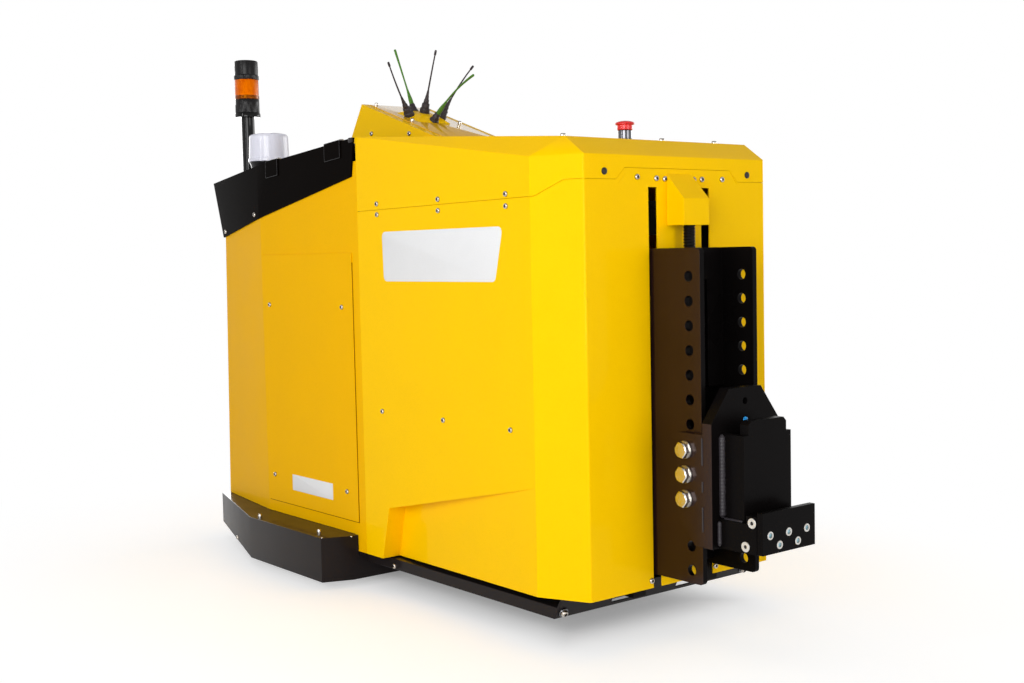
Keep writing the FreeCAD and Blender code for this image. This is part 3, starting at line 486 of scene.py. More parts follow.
def screwPatch(size):
    # button head: short rim, then (r, h) = (s + (R - s) cos a, 0.35 H + 0.65 H sin a) up to a
    # hexagonal socket of half width s
    r, h, s = size["radius"], size["head"], size["socket"]
    a = np.linspace(0.25, 0.5, 3) * np.pi
    low = 1.3 * s
    dome = np.stack([low + (r - low) * np.cos(a), h * (0.35 + 0.65 * np.sin(a))], -1)
    profile = np.concatenate([[[r, 0.0], [r, h * 0.35]], dome, [[s, h], [s * 0.96, h * 0.3]]])
    corner = np.arange(len(profile)) >= len(profile) - 2
    return turnedPatch(profile, size["faces"], corner=corner)


def plateSlope(fromX, fromZ, toX, toZ):
    # unit normal, pointing up, of a plane that is level across and runs between two places
    normal = unit(np.cross([toX - fromX, 0.0, toZ - fromZ], [0, 1, 0]))
    return tuple(normal * np.sign(normal[2]))


# the planes that the upper fasteners stand on, mm: x and z at both ends
roof = {"front": (-55, 1048.5), "rear": (-764, 1102.0)}
wedge = {"toe": (-699, 1098.5), "ridge": (-1060.5, 1220.5)}


def heightOn(plane, x):
    (x0, z0), (x1, z1) = list(plane.values())[:2]
    return z0 + (z1 - z0) * (x - x0) / (x1 - x0)


roofUp = plateSlope(*roof["front"], *roof["rear"])
wedgeUp = plateSlope(*wedge["toe"], *wedge["ridge"])
shieldOut, noseOut, upright = (-0.139, -0.990, 0), (0.871, 0, -0.491), (0, 0, 1)
shieldEdge = {"front": (-838, 1095.6), "rear": (-1153, 1072.4)}
lowScrew = {**coverScrew, "head": 5.8}
flushScrew = {**coverScrew, "radius": 6.0, "head": 0.4}
postScrew = {**coverScrew, "radius": 5.2, "head": 8.5, "socket": 2.4}
noseScrew = {"radius": 8.0, "head": 7.0, "socket": 3.8, "faces": 16, "washer": 11.5,
             "washerT": 3.5}
smallScrew = {"radius": 2.6, "head": 2.0, "socket": 1.1, "faces": 12}
sideRows = [(-675, 938), (-427, 938), (-186, 938), (-675, 913), (-427, 913), (-186, 913),
            (-675, 447), (-427, 447), (-186, 447)]
panelCorners = [(-1211, 692), (-842, 692), (-1211, 233), (-842, 233)]
frontRow = [(-123, 966), (-68, 964), (-43, 963), (43, 963), (68, 964), (131, 965),
            (-97.5, 123), (97.5, 123)]
wedgeCorners = [(-1041, -76), (-874, -76), (-874, 76), (-1041, 76)]
screwSets = {
    "side_screws": (bothSides([(x, -318, z) for x, z in sideRows]), coverScrew),
    "panel_screws": (bothSides([(x, -320.8, z) for x, z in panelCorners]), coverScrew),
    "front_screws": (facing([(0, y, z) for y, z in frontRow]), coverScrew),
    "roof_screws": (facing([(-75, y, heightOn(roof, -75)) for y in (-255, 26, 190)], roofUp),
                    lowScrew),
    "wedge_side_screws": (bothSides([(-1014, -109, 1138.7), (-838, -109, 1124.4)]), coverScrew),
    "wedge_screws": (facing([(x, y, heightOn(wedge, x) + 1.5) for x, y in wedgeCorners], wedgeUp),
                     postScrew),
    "shield_screws": (bothSides([(-1285, -318.4, 935), (-1530, -283.9, 895)], shieldOut),
                      coverScrew),
    "clip_screws": (bothSides([(x, -311, heightOn(shieldEdge, x) + 3) for x in (-1153, -838)],
                              upright), coverScrew),
    "base_top_screws": (bothSides([(-1179, -389, 130), (-894, -375, 130)], upright), postScrew),
    "base_corner_screws": (bothSides([(-833, -403, 130), (-793, -343, 130)], upright), smallScrew),
    "base_side_screws": (bothSides([(-1022, -408.6, 27)]), flushScrew),
    "base_rear_screws": (bothSides([(-1373, -358.6, 40)], (-0.277, -0.961, 0)), coverScrew),
    "skirt_screws": (bothSides([(-682, -292, 68)]), coverScrew),
    "nose_screws": (bothSides([(-77.1, -275, 72.3)], noseOut), noseScrew),
}
sockets = []
for name, ((spots, axes), size) in screwSets.items():
    fasten(name, spots, axes, screwPatch(size), screwSteel)
    s, h = size["socket"], size["head"]
    # a black disc at the bottom of each socket: painted shade in the hollow
    bottom = turnedPatch([(s * 1.06, h * 0.28), (s, h * 0.34), (s * 0.2, h * 0.34)], 12)
    sockets.append(copiesOf(bottom, placed(spots), axes))
makePiece("screw_sockets", joined(sockets), plugAndShadeBlack, sharp=40)


# rubber plugs, end caps and clips
def plugPatch(radius, head):
    # shallow dome: (r, h) = (R cos a, H sin a) on a short rim
    a = np.linspace(0.1, 0.48, 5) * np.pi
    dome = np.stack([radius * np.cos(a), head * (0.3 + 0.7 * np.sin(a))], -1)
    return turnedPatch(np.concatenate([[[radius, 0.0]], dome]), 24)


def insetRing(ring, d):
    # every point of a smooth counter-clockwise ring moved inwards by d
    run = unit(np.roll(ring, -1, 0) - np.roll(ring, 1, 0))
    return ring + np.stack([-run[:, 1], run[:, 0]], -1) * d


def roundedRing(corners, radius, steps=5):
    # polygon with its corners on arcs: p = c + r (cos a, sin a) between the two tangent points
    corners = np.asarray(corners, float)
    before = unit(np.roll(corners, 1, 0) - corners)
    after = unit(np.roll(corners, -1, 0) - corners)
    half = np.arccos(np.clip((before * after).sum(1), -1, 1))[:, None] / 2
    centre = corners + unit(before + after) * radius / np.sin(half)
    start = corners + before * radius / np.tan(half) - centre
    a = np.linspace(0, 1, steps)[None, :] * (np.pi - 2 * half)
    turned = np.stack([start[:, :1] * np.cos(a) - start[:, 1:] * np.sin(a),
                       start[:, :1] * np.sin(a) + start[:, 1:] * np.cos(a)], -1)
    return (centre[:, None] + turned).reshape(-1, 2)


def boxRing(halfX, halfY, radius):
    return roundedRing([(-halfX, -halfY), (halfX, -halfY), (halfX, halfY), (-halfX, halfY)],
                       radius)


def slabPatch(ring, thick, edge):
    # slab over a ring: rows (inset, height) walk round the broken lower and upper edges
    rows = [(edge, 0.0), (0.0, edge), (0.0, thick - edge), (edge * 0.3, thick - edge * 0.3),
            (edge, thick)]
    points = np.stack([np.concatenate([insetRing(ring, d), np.full((len(ring), 1), h)], 1)
                       for d, h in rows])
    return gridPatch(points)


# radius and head of the plugs; half width, half height, corner, thickness and edge of the caps
frontPlug, hitchPlug = (7.5, 2.6), (7.0, 2.4)
endCap = (9, 6, 3.0, 4.0, 1.2)
fasten("front_plugs", *facing([(0, -213, 976), (0, 213, 976)]), plugPatch(*frontPlug), plugAndShadeBlack)
fasten("shield_end_caps", *bothSides([(-775, -322.3, 1095)]),
       slabPatch(boxRing(*endCap[:3]), *endCap[3:]), plugAndShadeBlack)


def sideRods(lines, out, radius, count):
    # straight rods between places (x, z), at the same distance out on both sides
    return [alongPath([place(x0, y, z0), place(x1, y, z1)], radius * mm, count)
            for (x0, z0), (x1, z1) in lines for y in (-out, out)]


# lighter, glossier rods along the edges of the folded clips, painted highlights: along the top, down
# both ends and along the foot
clip = {"out": 325.0, "lap": 3.0, "drop": 40.0, "ends": [(-1203, -1141), (-898, -826)],
        "rim": 0.8}
rims = []
for x0, x1 in clip["ends"]:
    z0, z1 = heightOn(shieldEdge, x0), heightOn(shieldEdge, x1)
    corners = [(x0, z0 + clip["lap"]), (x1, z1 + clip["lap"]), (x1, z1 - clip["drop"]),
               (x0, z0 - clip["drop"])]
    rims += sideRods(zip(corners, corners[1:] + corners[:1]), clip["out"], clip["rim"], 10)
makePiece("clip_edge_highlights", joined(rims), edgeHighlightBlack)

# dark rods painted as the shade in the gap under and in front of the side panels
panelGap = {"out": 318.7, "radius": 1.0, "off": 0.8, "high": 640}
(x0, _, z0), (x1, _, _) = ((np.array(p) - place(0, 0, 0)) / mm
                           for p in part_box("access_panel_right"))
foot, front = z0 - panelGap["off"], x1 + panelGap["off"]
gapLines = [((x0 - panelGap["off"], foot), (front, foot)),
            ((front, foot), (front, foot + panelGap["high"]))]
makePiece("panel_gap_shade", joined(sideRods(gapLines, panelGap["out"], panelGap["radius"], 8)),
          seamShade)

# blank plates, mm from the front face and the floor
sidePlate = {"corners": [(-653, 756), (-228, 756), (-199, 872), (-657, 872)], "radius": 12,
             "thick": 0.9, "edge": 0.3, "out": 318}
smallPlate = {"corners": [(-1118, 202), (-912, 202), (-912, 244), (-1118, 244)], "radius": 1.5,
              "thick": 0.7, "edge": 0.25, "out": 320.8}
for name, size in (("side_plate", sidePlate), ("panel_plate", smallPlate)):
    ring = roundedRing(size["corners"], size["radius"])
    patch = copiesOf(slabPatch(ring, size["thick"], size["edge"]),
                     [place(0, -size["out"], 0)], [(0, -1, 0)])
    makePiece(name, patch, badgeFace, sharp=40)

# thin lid on the slope of the antenna housing, its ends given as x
lid = {"toe": -716, "ridge": -1055, "half": 86, "radius": 3, "thick": 1.5, "edge": 0.35,
       "gap": 0.05}
middleX = (lid["toe"] + lid["ridge"]) / 2
halfRun = (lid["toe"] - lid["ridge"]) / 2 / wedgeUp[2]
# copiesOf lays a slab's own x across this slope and its y down it
ring = boxRing(lid["half"], halfRun, lid["radius"])
makePiece("slope_lid", copiesOf(slabPatch(ring, lid["thick"], lid["edge"]),
                                [place(middleX, 0, heightOn(wedge, middleX) + lid["gap"])],
                                [wedgeUp]), lidYellow, sharp=40)

# bright creases where the tab of the cover was folded, thinning towards both ends
crease = {"radius": 0.9, "out": 0.1,
          "lines": [((-149.6, 977.4), (-177.7, 950.0)), ((156.5, 984.0), (181.5, 953.5))]}
folds = []
for (y0, z0), (y1, z1) in crease["lines"]:
    t = np.linspace(0, 1, 7)[:, None]
    path = place(crease["out"], y0, z0) * (1 - t) + place(crease["out"], y1, z1) * t
    swell = crease["radius"] * mm * np.sqrt(np.clip(1 - (2 * t[:, 0] - 1) ** 2, 0.02, 1))
    folds.append(alongPath(path, swell, 10))
makePiece("tab_creases", joined(folds), yellowPaint)
print("stage: cover screws, plugs and plates")


# hitch fasteners
hexBolt = {"flat": 15.0, "head": 12.5, "washer": 18.5, "washerT": 3.0, "nut": 16.0, "inside": 73}


def hexPatch(flat, head):
    # hexagonal prism, r = flat / cos(angle from the nearest flat), with a turned chamfer
    profile = [(flat, 0.0), (flat, head * 0.88), (flat * 0.95, head), (flat * 0.6, head)]
    return turnedPatch(profile, 12, corner=np.array([True, True, False, False]))


def washerPatch(radius, thick):
    return turnedPatch([(radius, 0), (radius, thick * 0.7), (radius - 0.5, thick),
                        (radius * 0.5, thick)], 24)


boltHoles = [(105, z) for z in (411.8, 361.8, 311.8)]
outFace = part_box("hitch_bracket")[0].y / mm
fasten("hitch_washers", *bothSides([(x, outFace, z) for x, z in boltHoles]),
       washerPatch(hexBolt["washer"], hexBolt["washerT"]), zinc, "lift_carriage")
fasten("hitch_bolts", *bothSides([(x, outFace - hexBolt["washerT"], z) for x, z in boltHoles]),
       hexPatch(hexBolt["flat"], hexBolt["head"]), bolt, "lift_carriage", spin=0.35)
fasten("hitch_nuts", *bothSides([(x, -hexBolt["inside"], z) for x, z in boltHoles], (0, 1, 0)),
       hexPatch(hexBolt["flat"], hexBolt["nut"]), zinc, "lift_carriage", spin=0.2)

# cap screws sunk in the bar: a plain ring, its knurl not drawn, with a hexagonal socket, up to the
# bar's face
capScrew = {"radius": 8.9, "socket": 4.7, "deep": 4.0, "high": 6.8, "back": 7.0}
barScrews = [(-55, 257), (0, 257), (55, 257), (-27.5, 235), (27.5, 235)]
backX = (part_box("hitch_bar")[1].x - frontX) / mm - capScrew["back"]
barSpots = facing([(backX, y, z) for y, z in barScrews])
r, s, h = capScrew["radius"], capScrew["socket"], capScrew["high"]
deep = h - capScrew["deep"]
points, faces = turnedPatch([(s, deep), (s, h - 0.4), (s * 1.06, h), (r - 0.8, h), (r, h - 0.8),
                             (r, 0)], 24, capStart=False,
                            corner=np.array([True, True, True, False, False, False]))
fasten("bar_screws", *barSpots, (points, [face[::-1] for face in faces]), bolt, "lift_carriage")
fasten("bar_screw_sockets", *barSpots,
       turnedPatch([(s * 1.3, deep - 1), (s * 1.3, deep), (s * 0.4, deep)], 12), zincBlue,
       "lift_carriage")

# countersunk screws in the sides of the arms
armHalf = 80.0
armScrews = bothSides([(262, -armHalf, 281), (245, -armHalf, 232)])
sunkShape = turnedPatch([(10.4, 0), (10.4, 0.5), (9.8, 1.2), (4.0, 1.2), (3.7, 0.9), (3.6, 0.2)],
                        24, corner=np.array([False, False, False, True, True, True]))
fasten("arm_screws", *armScrews, sunkShape, flatScrew, "lift_carriage")
# black cones in the sockets of the arm screws: painted shade in the hollow
fasten("arm_screw_sockets", *armScrews, turnedPatch([(3.9, 0.1), (3.7, 0.5), (1.0, 0.45)], 12),
       plugAndShadeBlack, "lift_carriage")

# a blue plug in the hitch's back plate
fasten("hitch_plug", *facing([(177, 0, 469)]), plugPatch(*hitchPlug), capBlue, "lift_carriage")
print("stage: hitch fasteners")


# weld beads: a round bead whose radius swells along it, r (1 + swell cos(2 pi s / pitch));
# each run is (radius, from, to) on the right, and is mirrored to the left
weld = {"pitch": 7.0, "step": 1.4, "swell": 0.035, "runs": [
    (7.4, (179.5, -72.5, 279), (179.5, -72.5, 447)),
    (4.6, (179, -81.5, 223), (179, -81.5, 274)),
    (2.6, (182, -72.5, 278.5), (232, -72.5, 278.5)),
    (1.8, (151.5, -100.5, 250), (151.5, -100.5, 300)),
    (1.8, (151.5, -100.5, 330), (151.5, -100.5, 352)),
    (1.8, (151.5, -100.5, 384), (151.5, -100.5, 440))]}


def weldBead(radius, start, stop):
    length = np.linalg.norm(stop - start)
    s = np.linspace(0, length, int(length / weld["step"]) + 2)
    path = start + (stop - start) * (s / length)[:, None]
    ends = np.clip(np.minimum(s, length - s) / radius, 0.0, 1.0)
    swell = radius * (1 + weld["swell"] * np.cos(2 * np.pi * s / weld["pitch"]))
    return alongPath(placed(path), swell * np.sqrt(0.05 + 0.95 * ends) * mm, 12)


beads = [weldBead(radius, np.array(start) * side, np.array(stop) * side)
         for side in ([1, 1, 1], [1, -1, 1]) for radius, start, stop in weld["runs"]]
makePiece("hitch_welds", joined(beads), weldSteel, "lift_carriage", sharp=60)
print("stage: hitch welds")


# lift conduit: straight, quarter turn, straight down, quarter turn, straight in
conduit = {"reach": 28.0, "inside": -15.0, "turn": 24.0, "high": 891.0, "low": 660.0,
           "radius": 12.0, "swell": 1.0, "pitch": 6.4, "ringStep": 0.8, "around": 24,
           "nut": (16.0, 5.5), "nutX": 0.3}


def conduitPath(size):
    # route at equal steps of its length; a turn is centre + turn (sin a, cos a)
    high, low, turn, inside = (size[k] for k in ("high", "low", "turn", "inside"))
    a = np.linspace(0, 0.5 * np.pi, 24)
    x = size["reach"] - turn
    bendIn = np.stack([x + turn * np.sin(a), high - turn + turn * np.cos(a)], -1)
    bendOut = np.stack([x + turn * np.cos(a), low + turn - turn * np.sin(a)], -1)
    route = np.concatenate([[[inside, high]], bendIn, bendOut, [[inside, low]]])
    step = np.concatenate([[0], np.cumsum(np.linalg.norm(np.diff(route, axis=0), axis=1))])
    s = np.arange(0, step[-1], size["ringStep"])
    return np.interp(s, step, route[:, 0]), np.interp(s, step, route[:, 1]), s


def makeConduit(size):
    # wound corrugation: radius = r + swell cos(2 pi s / pitch - t)
    x, z, s = conduitPath(size)
    t = np.linspace(0, 2 * np.pi, size["around"], endpoint=False)
    run = unit(np.stack([np.gradient(x), np.gradient(z)], -1))
    wave = np.cos(2 * np.pi * s[:, None] / size["pitch"] - t[None, :])
    r = size["radius"] + size["swell"] * wave
    points = np.stack([x[:, None] - run[:, 1:] * r * np.sin(t),
                       r * np.cos(t),
                       z[:, None] + run[:, :1] * r * np.sin(t)], -1)
    makePiece("lift_conduit", gridPatch(points * mm + place(0, 0, 0)), hoseRubber, sharp=60,
              replaces=["lift_hose"], recalc=True)
    fasten("conduit_nut", *facing([(size["nutX"], 0, size["low"])]), hexPatch(*size["nut"]),
           mouldBlack)


makeConduit(conduit)
print("stage: conduit")


# turned fittings: profile rows are (radius, height above the node's foot), mm
def standing(name, node, profile, material, count=64, replaces=(), wave=None):
    foot = middleOf(node) * [1, 1, 0] + [0, 0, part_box(node)[0].z]
    patch = copiesOf(turnedPatch(profile, count, wave=wave), [foot], [(0, 0, 1)])
    return makePiece(name, patch, material, sharp=30, replaces=replaces)


beacon = {"pole": 18.5, "foot": 34.0, "lower": 53.0, "radius": 34.2, "ribs": 60, "rib": 0.28,
          "count": 240, "ring": 9.0}


def ribs(depths):
    # r = profile + depth * cos(ribs * t)
    return np.array(depths, float), lambda t: np.cos(beacon["ribs"] * t)


def makeBeacon(size):
    tall, lens, cap = (extentOf(n)[2] for n in ("beacon_stand", "beacon_lens", "beacon_cap"))
    neck = tall - size["lower"]
    f, p, r, d = (size[k] for k in ("foot", "pole", "radius", "rib"))
    standing("beacon_pole", "beacon_stand",
             [(f, 0), (f, 3.6), (f - 1.2, 5.2), (p + 3, 6.2), (p + 0.6, 7.6), (p, 10),
              (p, neck), (p + 1.5, neck + 1.2), (p + 1.5, neck + 3)], poleBlack,
             replaces=["beacon_stand"])
    standing("beacon_collar", "beacon_stand",
             [(p + 1, neck), (r + 1.2, neck), (r + 2.3, neck + 1.2), (r + 2.3, neck + 9),
              (r + 0.9, neck + 13), (r - 0.6, neck + 14)], poleBlack)
    standing("beacon_socket", "beacon_stand",
             [(r - 1, neck + 13.4), (r - 0.4, neck + 14), (r - 0.4, neck + 34), (r, neck + 36),
              (r, tall - 3), (r - 0.8, tall - 1.6), (r - 3, tall - 1)], mouldBlack,
             count=size["count"], wave=ribs([0, d, d, 0, 0, 0, 0]))
    standing("beacon_ring", "beacon_lens",
             [(r - 3, -2), (r - 0.6, -1.6), (r + 0.5, 0), (r + 0.5, size["ring"] - 1),
              (r - 0.4, size["ring"])], amberRing)
    k = size["ring"] - 0.4
    standing("beacon_lens_clear", "beacon_lens",
             [(r - 2.5, k), (r - 1.0, k + 0.3), (r - 0.9, k + 2), (r - 0.9, lens - 1.5),
              (r - 1.3, lens), (r - 4, lens)], amberLens, count=size["count"],
             replaces=["beacon_lens"], wave=ribs([0, 0, d * 0.8, d * 0.8, 0, 0]))
    a = np.linspace(0, 0.5 * np.pi, 6)
    crown = [(r - 5 + 4 * math.cos(v), cap - 4 + 4 * math.sin(v)) for v in a]
    standing("beacon_cap_ribbed", "beacon_cap",
             [(r - 3, -0.3), (r - 0.2, 0), (r + 0.4, 1), (r + 0.4, 11), (r - 0.6, 12.5),
              (r - 0.9, 14)], mouldBlack, count=size["count"], wave=ribs([0, 0, d, d, 0, 0]))
    standing("beacon_cap_barrel", "beacon_cap",
             [(r - 2, 12), (r - 1, 12.8), (r - 0.6, 30)] + crown + [(r - 12, cap)], mouldBlack,
             replaces=["beacon_cap"])


makeBeacon(beacon)

dome = {"radius": 58.0, "flange": 9.0, "taper": 4.0, "shoulder": 10.0, "crown": 4.0}


def makeDome(size):
    low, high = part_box("radome")
    tall = extentOf("radome")[2]
    r, e = size["radius"], size["shoulder"]
    top = r - size["taper"]
    side = tall - size["crown"] - e
    a = np.linspace(0, 0.42 * np.pi, 7)
    shoulder = [(top - e + e * math.cos(v), side + e * math.sin(v)) for v in a]
    crown = [(k * (top - e + e * math.cos(a[-1])), tall - (tall - shoulder[-1][1]) * k * k)
             for k in (0.85, 0.65, 0.45, 0.2)]
    standing("radome_shell", "radome",
             [(r - 4, 0), (r - 0.8, 0.2), (r, 1.4), (r, size["flange"]),
              (r - 0.9, size["flange"] + 1), (r - 2.2, size["flange"] + 1.6),
              (r - 2.4, size["flange"] + 3)] + shoulder + crown,
             domeWhite, count=96, replaces=["radome"])
    standing("radome_foot", "radome_base",
             [(r - 14, 0), (r - 12, 1.2), (r - 9.5, 14), (r - 7, 27), (r - 4.6, 35),
              (r - 3.0, 38.5), (r - 2.6, 41.2)], mouldBlack, count=64, replaces=["radome_base"])


makeDome(dome)

stopButton = {"ring": 16.2, "barrel": 15.2, "tall": 21.0, "stem": 7.8, "body": 17.0, "brim": 21.5,
              "bodyLow": 19.6, "lip": 31.4}


def makeStopButton(size):
    ring, b, t, stem, body, low, brim, lip = (size[k] for k in (
        "ring", "barrel", "tall", "stem", "body", "bodyLow", "brim", "lip"))
    standing("estop_barrel", "estop_collar",
             [(ring, 0), (ring, 2), (ring - 0.6, 3), (b, 3.2), (b, t - 1.2), (b - 1, t),
              (b - 3, t)], darkChrome, replaces=["estop_collar"])
    rise = extentOf("estop_button")[2] - lip - 2
    # crown: (r, h) = (brim cos a, lip + 2 + rise sin a)
    a = np.linspace(0, 0.48 * np.pi, 8)
    crown = [(brim * math.cos(v), lip + 2 + rise * math.sin(v)) for v in a]
    standing("estop_mushroom", "estop_button",
             [(stem, 0), (stem, low), (body - 0.6, low), (body, low + 0.8),
              (body + 0.3, lip - 1.4), (body + 1.6, lip - 0.4), (brim - 0.8, lip),
              (brim, lip + 0.8)] + crown, buttonRed, replaces=["estop_button"])


makeStopButton(stopButton)
print("stage: beacon, dome and stop button")

# antennas: foot in mm, direction, and how far the tip leans out of line
antennaFeet = {
    "antenna_whip_1": ((-924.6, -48.0, 1180.8), (0.28, -0.632, 0.725), (0, 14, 6)),
    "antenna_whip_2": ((-927.6, 1.0, 1190.5), (0.37, -0.03, 0.93), (3, 2, 0)),
    "antenna_whip_3": ((-905.5, 37.0, 1174.8), (0.27, 0.37, 0.90), (0, 22, -12)),
    "antenna_taper_1": ((-961.2, -8.0, 1194.2), (-0.33, -0.08, 0.93), (-2, 0, 0)),
    "antenna_taper_2": ((-881.9, -1.0, 1166.4), (0.655, 0.099, 0.749), (33, 0, -36)),
}
whip = {"boot": [(13.4, 0), (13.4, 15), (12.6, 18.4), (10.6, 19.4), (10.4, 21), (10.2, 29),
                 (9.4, 31.4), (7.2, 32.4), (7.0, 38), (6.4, 42), (5.2, 43), (4.9, 50), (3.8, 54),
                 (3.2, 62), (2.2, 68)],
        "rod": [(2.2, 90), (1.8, 159)],
        "tip": [(2.8, 160), (3.1, 161.5), (3.1, 170), (2.4, 172.4), (0.6, 173)]}
taper = {"boot": [(12.4, 0), (12.4, 8), (11.8, 10), (9.8, 11), (9.6, 18), (8.8, 20),
                  (8.0, 21), (7.8, 28), (6.8, 30)],
         "sleeve": [(5.2, 28.6), (6.0, 30.2), (6.0, 33), (5.6, 45), (4.4, 55), (3.0, 67),
                    (2.4, 76), (2.2, 95), (2.5, 140), (3.3, 184), (3.3, 187), (2.2, 189)]}
rootDepth = 6.0


def bentRod(name, foot, direction, lean, profile, material, replaces=(), steps=8):
    # centre line = foot + s axis + (s / length)^2 lean, ring radius from the profile
    rows = np.array(profile, float)
    along = np.concatenate([np.linspace(a, b, steps, endpoint=False) if b - a > 8 else [a]
                            for a, b in zip(rows[:-1, 1], rows[1:, 1])] + [rows[-1:, 1]])
    radius = np.interp(along, rows[:, 1], rows[:, 0])
    full = taper["sleeve"][-1][1]
    line = (np.array(foot) + unit(np.array(direction)) * (along - rootDepth)[:, None]
            + np.array(lean) * ((along / full) ** 2)[:, None])
    return makePiece(name, alongPath(placed(line), radius * mm, 20), material, sharp=50,
                     replaces=replaces)


for name, (foot, direction, lean) in antennaFeet.items():
    if "whip" in name:
        bentRod(name + "_rod", foot, direction, lean, whip["boot"] + whip["rod"] + whip["tip"],
                antennaBlack, [name])
    else:
        bentRod(name + "_boot", foot, direction, lean, taper["boot"], antennaBlack)
        bentRod(name + "_sleeve", foot, direction, lean, taper["sleeve"], antennaGreen, [name])
print("stage: antennas")

# screen: a dark pane in the bezel of the operator display, on the rear slope of the housing
screen = {"foot": (-1169, 1057.3), "ridge": (-1060.5, 1220.5), "along": 32.0, "high": 100.0,
          "half": 90.0, "thick": 12.3, "rim": 9.0, "pane": 0.9, "corner": 3.0, "edge": 0.3}


def makeScreen(size):
    (x0, z0), (x1, z1) = size["foot"], size["ridge"]
    run = unit(np.array([x1 - x0, 0.0, z1 - z0]))
    out = np.array([-run[2], 0.0, run[0]])
    middle = (np.array([x0, 0.0, z0]) + run * (size["along"] + size["high"] / 2)
              + out * size["thick"])
    # copiesOf lays a slab's own x across the object and its y up the slope
    ring = boxRing(size["half"] - size["rim"], size["high"] / 2 - size["rim"], size["corner"])
    makePiece("display_glass", copiesOf(slabPatch(ring, size["pane"], size["edge"]),
                                        [place(*middle)], [out]), screenGlass, sharp=40)


makeScreen(screen)

# wheels: depth from the tread to the bore and the body that carries the tyre
tyres = {"drive_tyre_right": (30.0, "drive_wheel"), "drive_tyre_left": (30.0, "drive_wheel"),
         "rear_tyre_right": (25.0, "rear_wheel_right"),
         "rear_tyre_left": (25.0, "rear_wheel_left")}
tread = {"count": 216, "lugs": 36, "notch": 1.6, "groove": 2.4, "grooveHalf": 2.2,
         "grooveAt": 0.36, "lugRows": slice(7, 10)}


def tyreRing(r, half, bore):
    # the section is walked once round as (radius, place across the tyre): from the bore round
    # the shoulder to the middle, then its mirror
    q, g, at = tread["grooveHalf"], tread["groove"], -tread["grooveAt"] * half
    near = [(bore, -half), (bore + 2, -half), (r - 17, -half), (r - 16, -half + 1),
            (r - 14.5, -half + 1), (r - 13.5, -half), (r - 9, -half + 0.2),
            (r - 4, -half + 1.6), (r - 1.2, -half + 4.4), (r, -half + 8.0),
            (r, at - q), (r - g, at - q * 0.6), (r - g, at + q * 0.6), (r, at + q)]
    return near + [(x, -y) for x, y in near[::-1]]


def makeTyres():
    for node, (wall, body) in tyres.items():
        _, wide, high = extentOf(node)
        section = tyreRing(high / 2, wide / 2, high / 2 - wall)
        depth = np.zeros(len(section))
        for rows in (depth, depth[::-1]):
            rows[tread["lugRows"]] = (0.6 * tread["notch"], tread["notch"], tread["notch"])
        wave = (depth, lambda t: -np.clip(3 * np.cos(tread["lugs"] * t), 0, 1))
        patch = turnedPatch(section, tread["count"], False, False, closed=True, wave=wave)
        makePiece(node + "_tread", copiesOf(patch, [middleOf(node)], [(0, 1, 0)]), tyreRubber,
                  body, sharp=40, replaces=[node], recalc=True)


makeTyres()

# wheel bolts, hub caps and axle nuts: circle radius, count, and places out from the middle
wheelBolt = {"flat": 8.5, "head": 8.0}
axleNut = {"flat": 15.0, "head": 9.0}
hubCap = [(21, -1), (21, 1), (20, 9), (17, 14), (12, 16.4), (5, 17)]
rearBolts = {"circle": 46.0, "count": 5, "web": 9.0, "hub": 34.0}
driveBolts = {"circle": 48.0, "count": 6, "web": 9.0, "axle": 104.0}


def boltCircle(node, sign, size):
    # centre + circle (cos a, 0, sin a)
    a = 2 * np.pi * np.arange(size["count"]) / size["count"]
    ring = np.stack([size["circle"] * np.cos(a), np.full(len(a), sign * size["web"]),
                     size["circle"] * np.sin(a)], -1)
    return middleOf(node) + ring * mm, [(0, sign, 0)] * len(a)


def makeWheelFittings():
    nut = hexPatch(wheelBolt["flat"], wheelBolt["head"])
    endNut = hexPatch(axleNut["flat"], axleNut["head"])
    for sign, side in ((-1, "right"), (1, "left")):
        rear, drive, out = "rear_tyre_" + side, "drive_tyre_" + side, [(0, sign, 0)]
        makePiece("rear_wheel_bolts_" + side, copiesOf(nut, *boltCircle(rear, sign, rearBolts)),
                  zinc, "rear_wheel_" + side, sharp=40)
        hub = middleOf(rear) + [0, sign * rearBolts["hub"] * mm, 0]
        makePiece("rear_hub_cap_" + side, copiesOf(turnedPatch(hubCap, 32), [hub], out),
                  castPaint, "rear_wheel_" + side)
        makePiece("drive_wheel_bolts_" + side,
                  copiesOf(nut, *boltCircle(drive, sign, driveBolts)), zinc, "drive_wheel",
                  sharp=40)
        axle = middleOf(drive) * [1, 0, 1] + [0, sign * driveBolts["axle"] * mm, 0]
        makePiece("drive_axle_nut_" + side, copiesOf(endNut, [axle], out), zinc, "steer_turret",
                  sharp=40)


makeWheelFittings()

# bolts that hold the mast's foot, and washers under the screws in the frame's nose
mastBolt = {"flat": 9.5, "head": 8.0, "washer": 12.0, "washerT": 2.5}
mastSpots, mastAxes = bothSides([(-128, -104, 100.3), (-128, -60, 100.3)], upright)
fasten("mast_washers", mastSpots, mastAxes, washerPatch(mastBolt["washer"], mastBolt["washerT"]),
       zinc)
fasten("mast_bolts", mastSpots + [0, 0, mastBolt["washerT"]], mastAxes,
       hexPatch(mastBolt["flat"], mastBolt["head"]), bolt)
fasten("nose_washers", *bothSides([(-80.1, -275, 74)], noseOut),
       washerPatch(noseScrew["washer"], noseScrew["washerT"]), darkChrome)
print("stage: wheels and frame bolts")


def rayKinds(nt):
    # 1 for rays that come from the camera, from gloss or through glass
    path = addNode(nt, "LightPath", {})
    seen = figure(nt, "MAXIMUM", path["Is Camera Ray"], path["Is Glossy Ray"])
    return figure(nt, "MAXIMUM", seen, path["Is Transmission Ray"])


def mixed(nt, share, first, second):
    return addNode(nt, "MixShader", {"Fac": share, 1: first, 2: second})["Shader"]


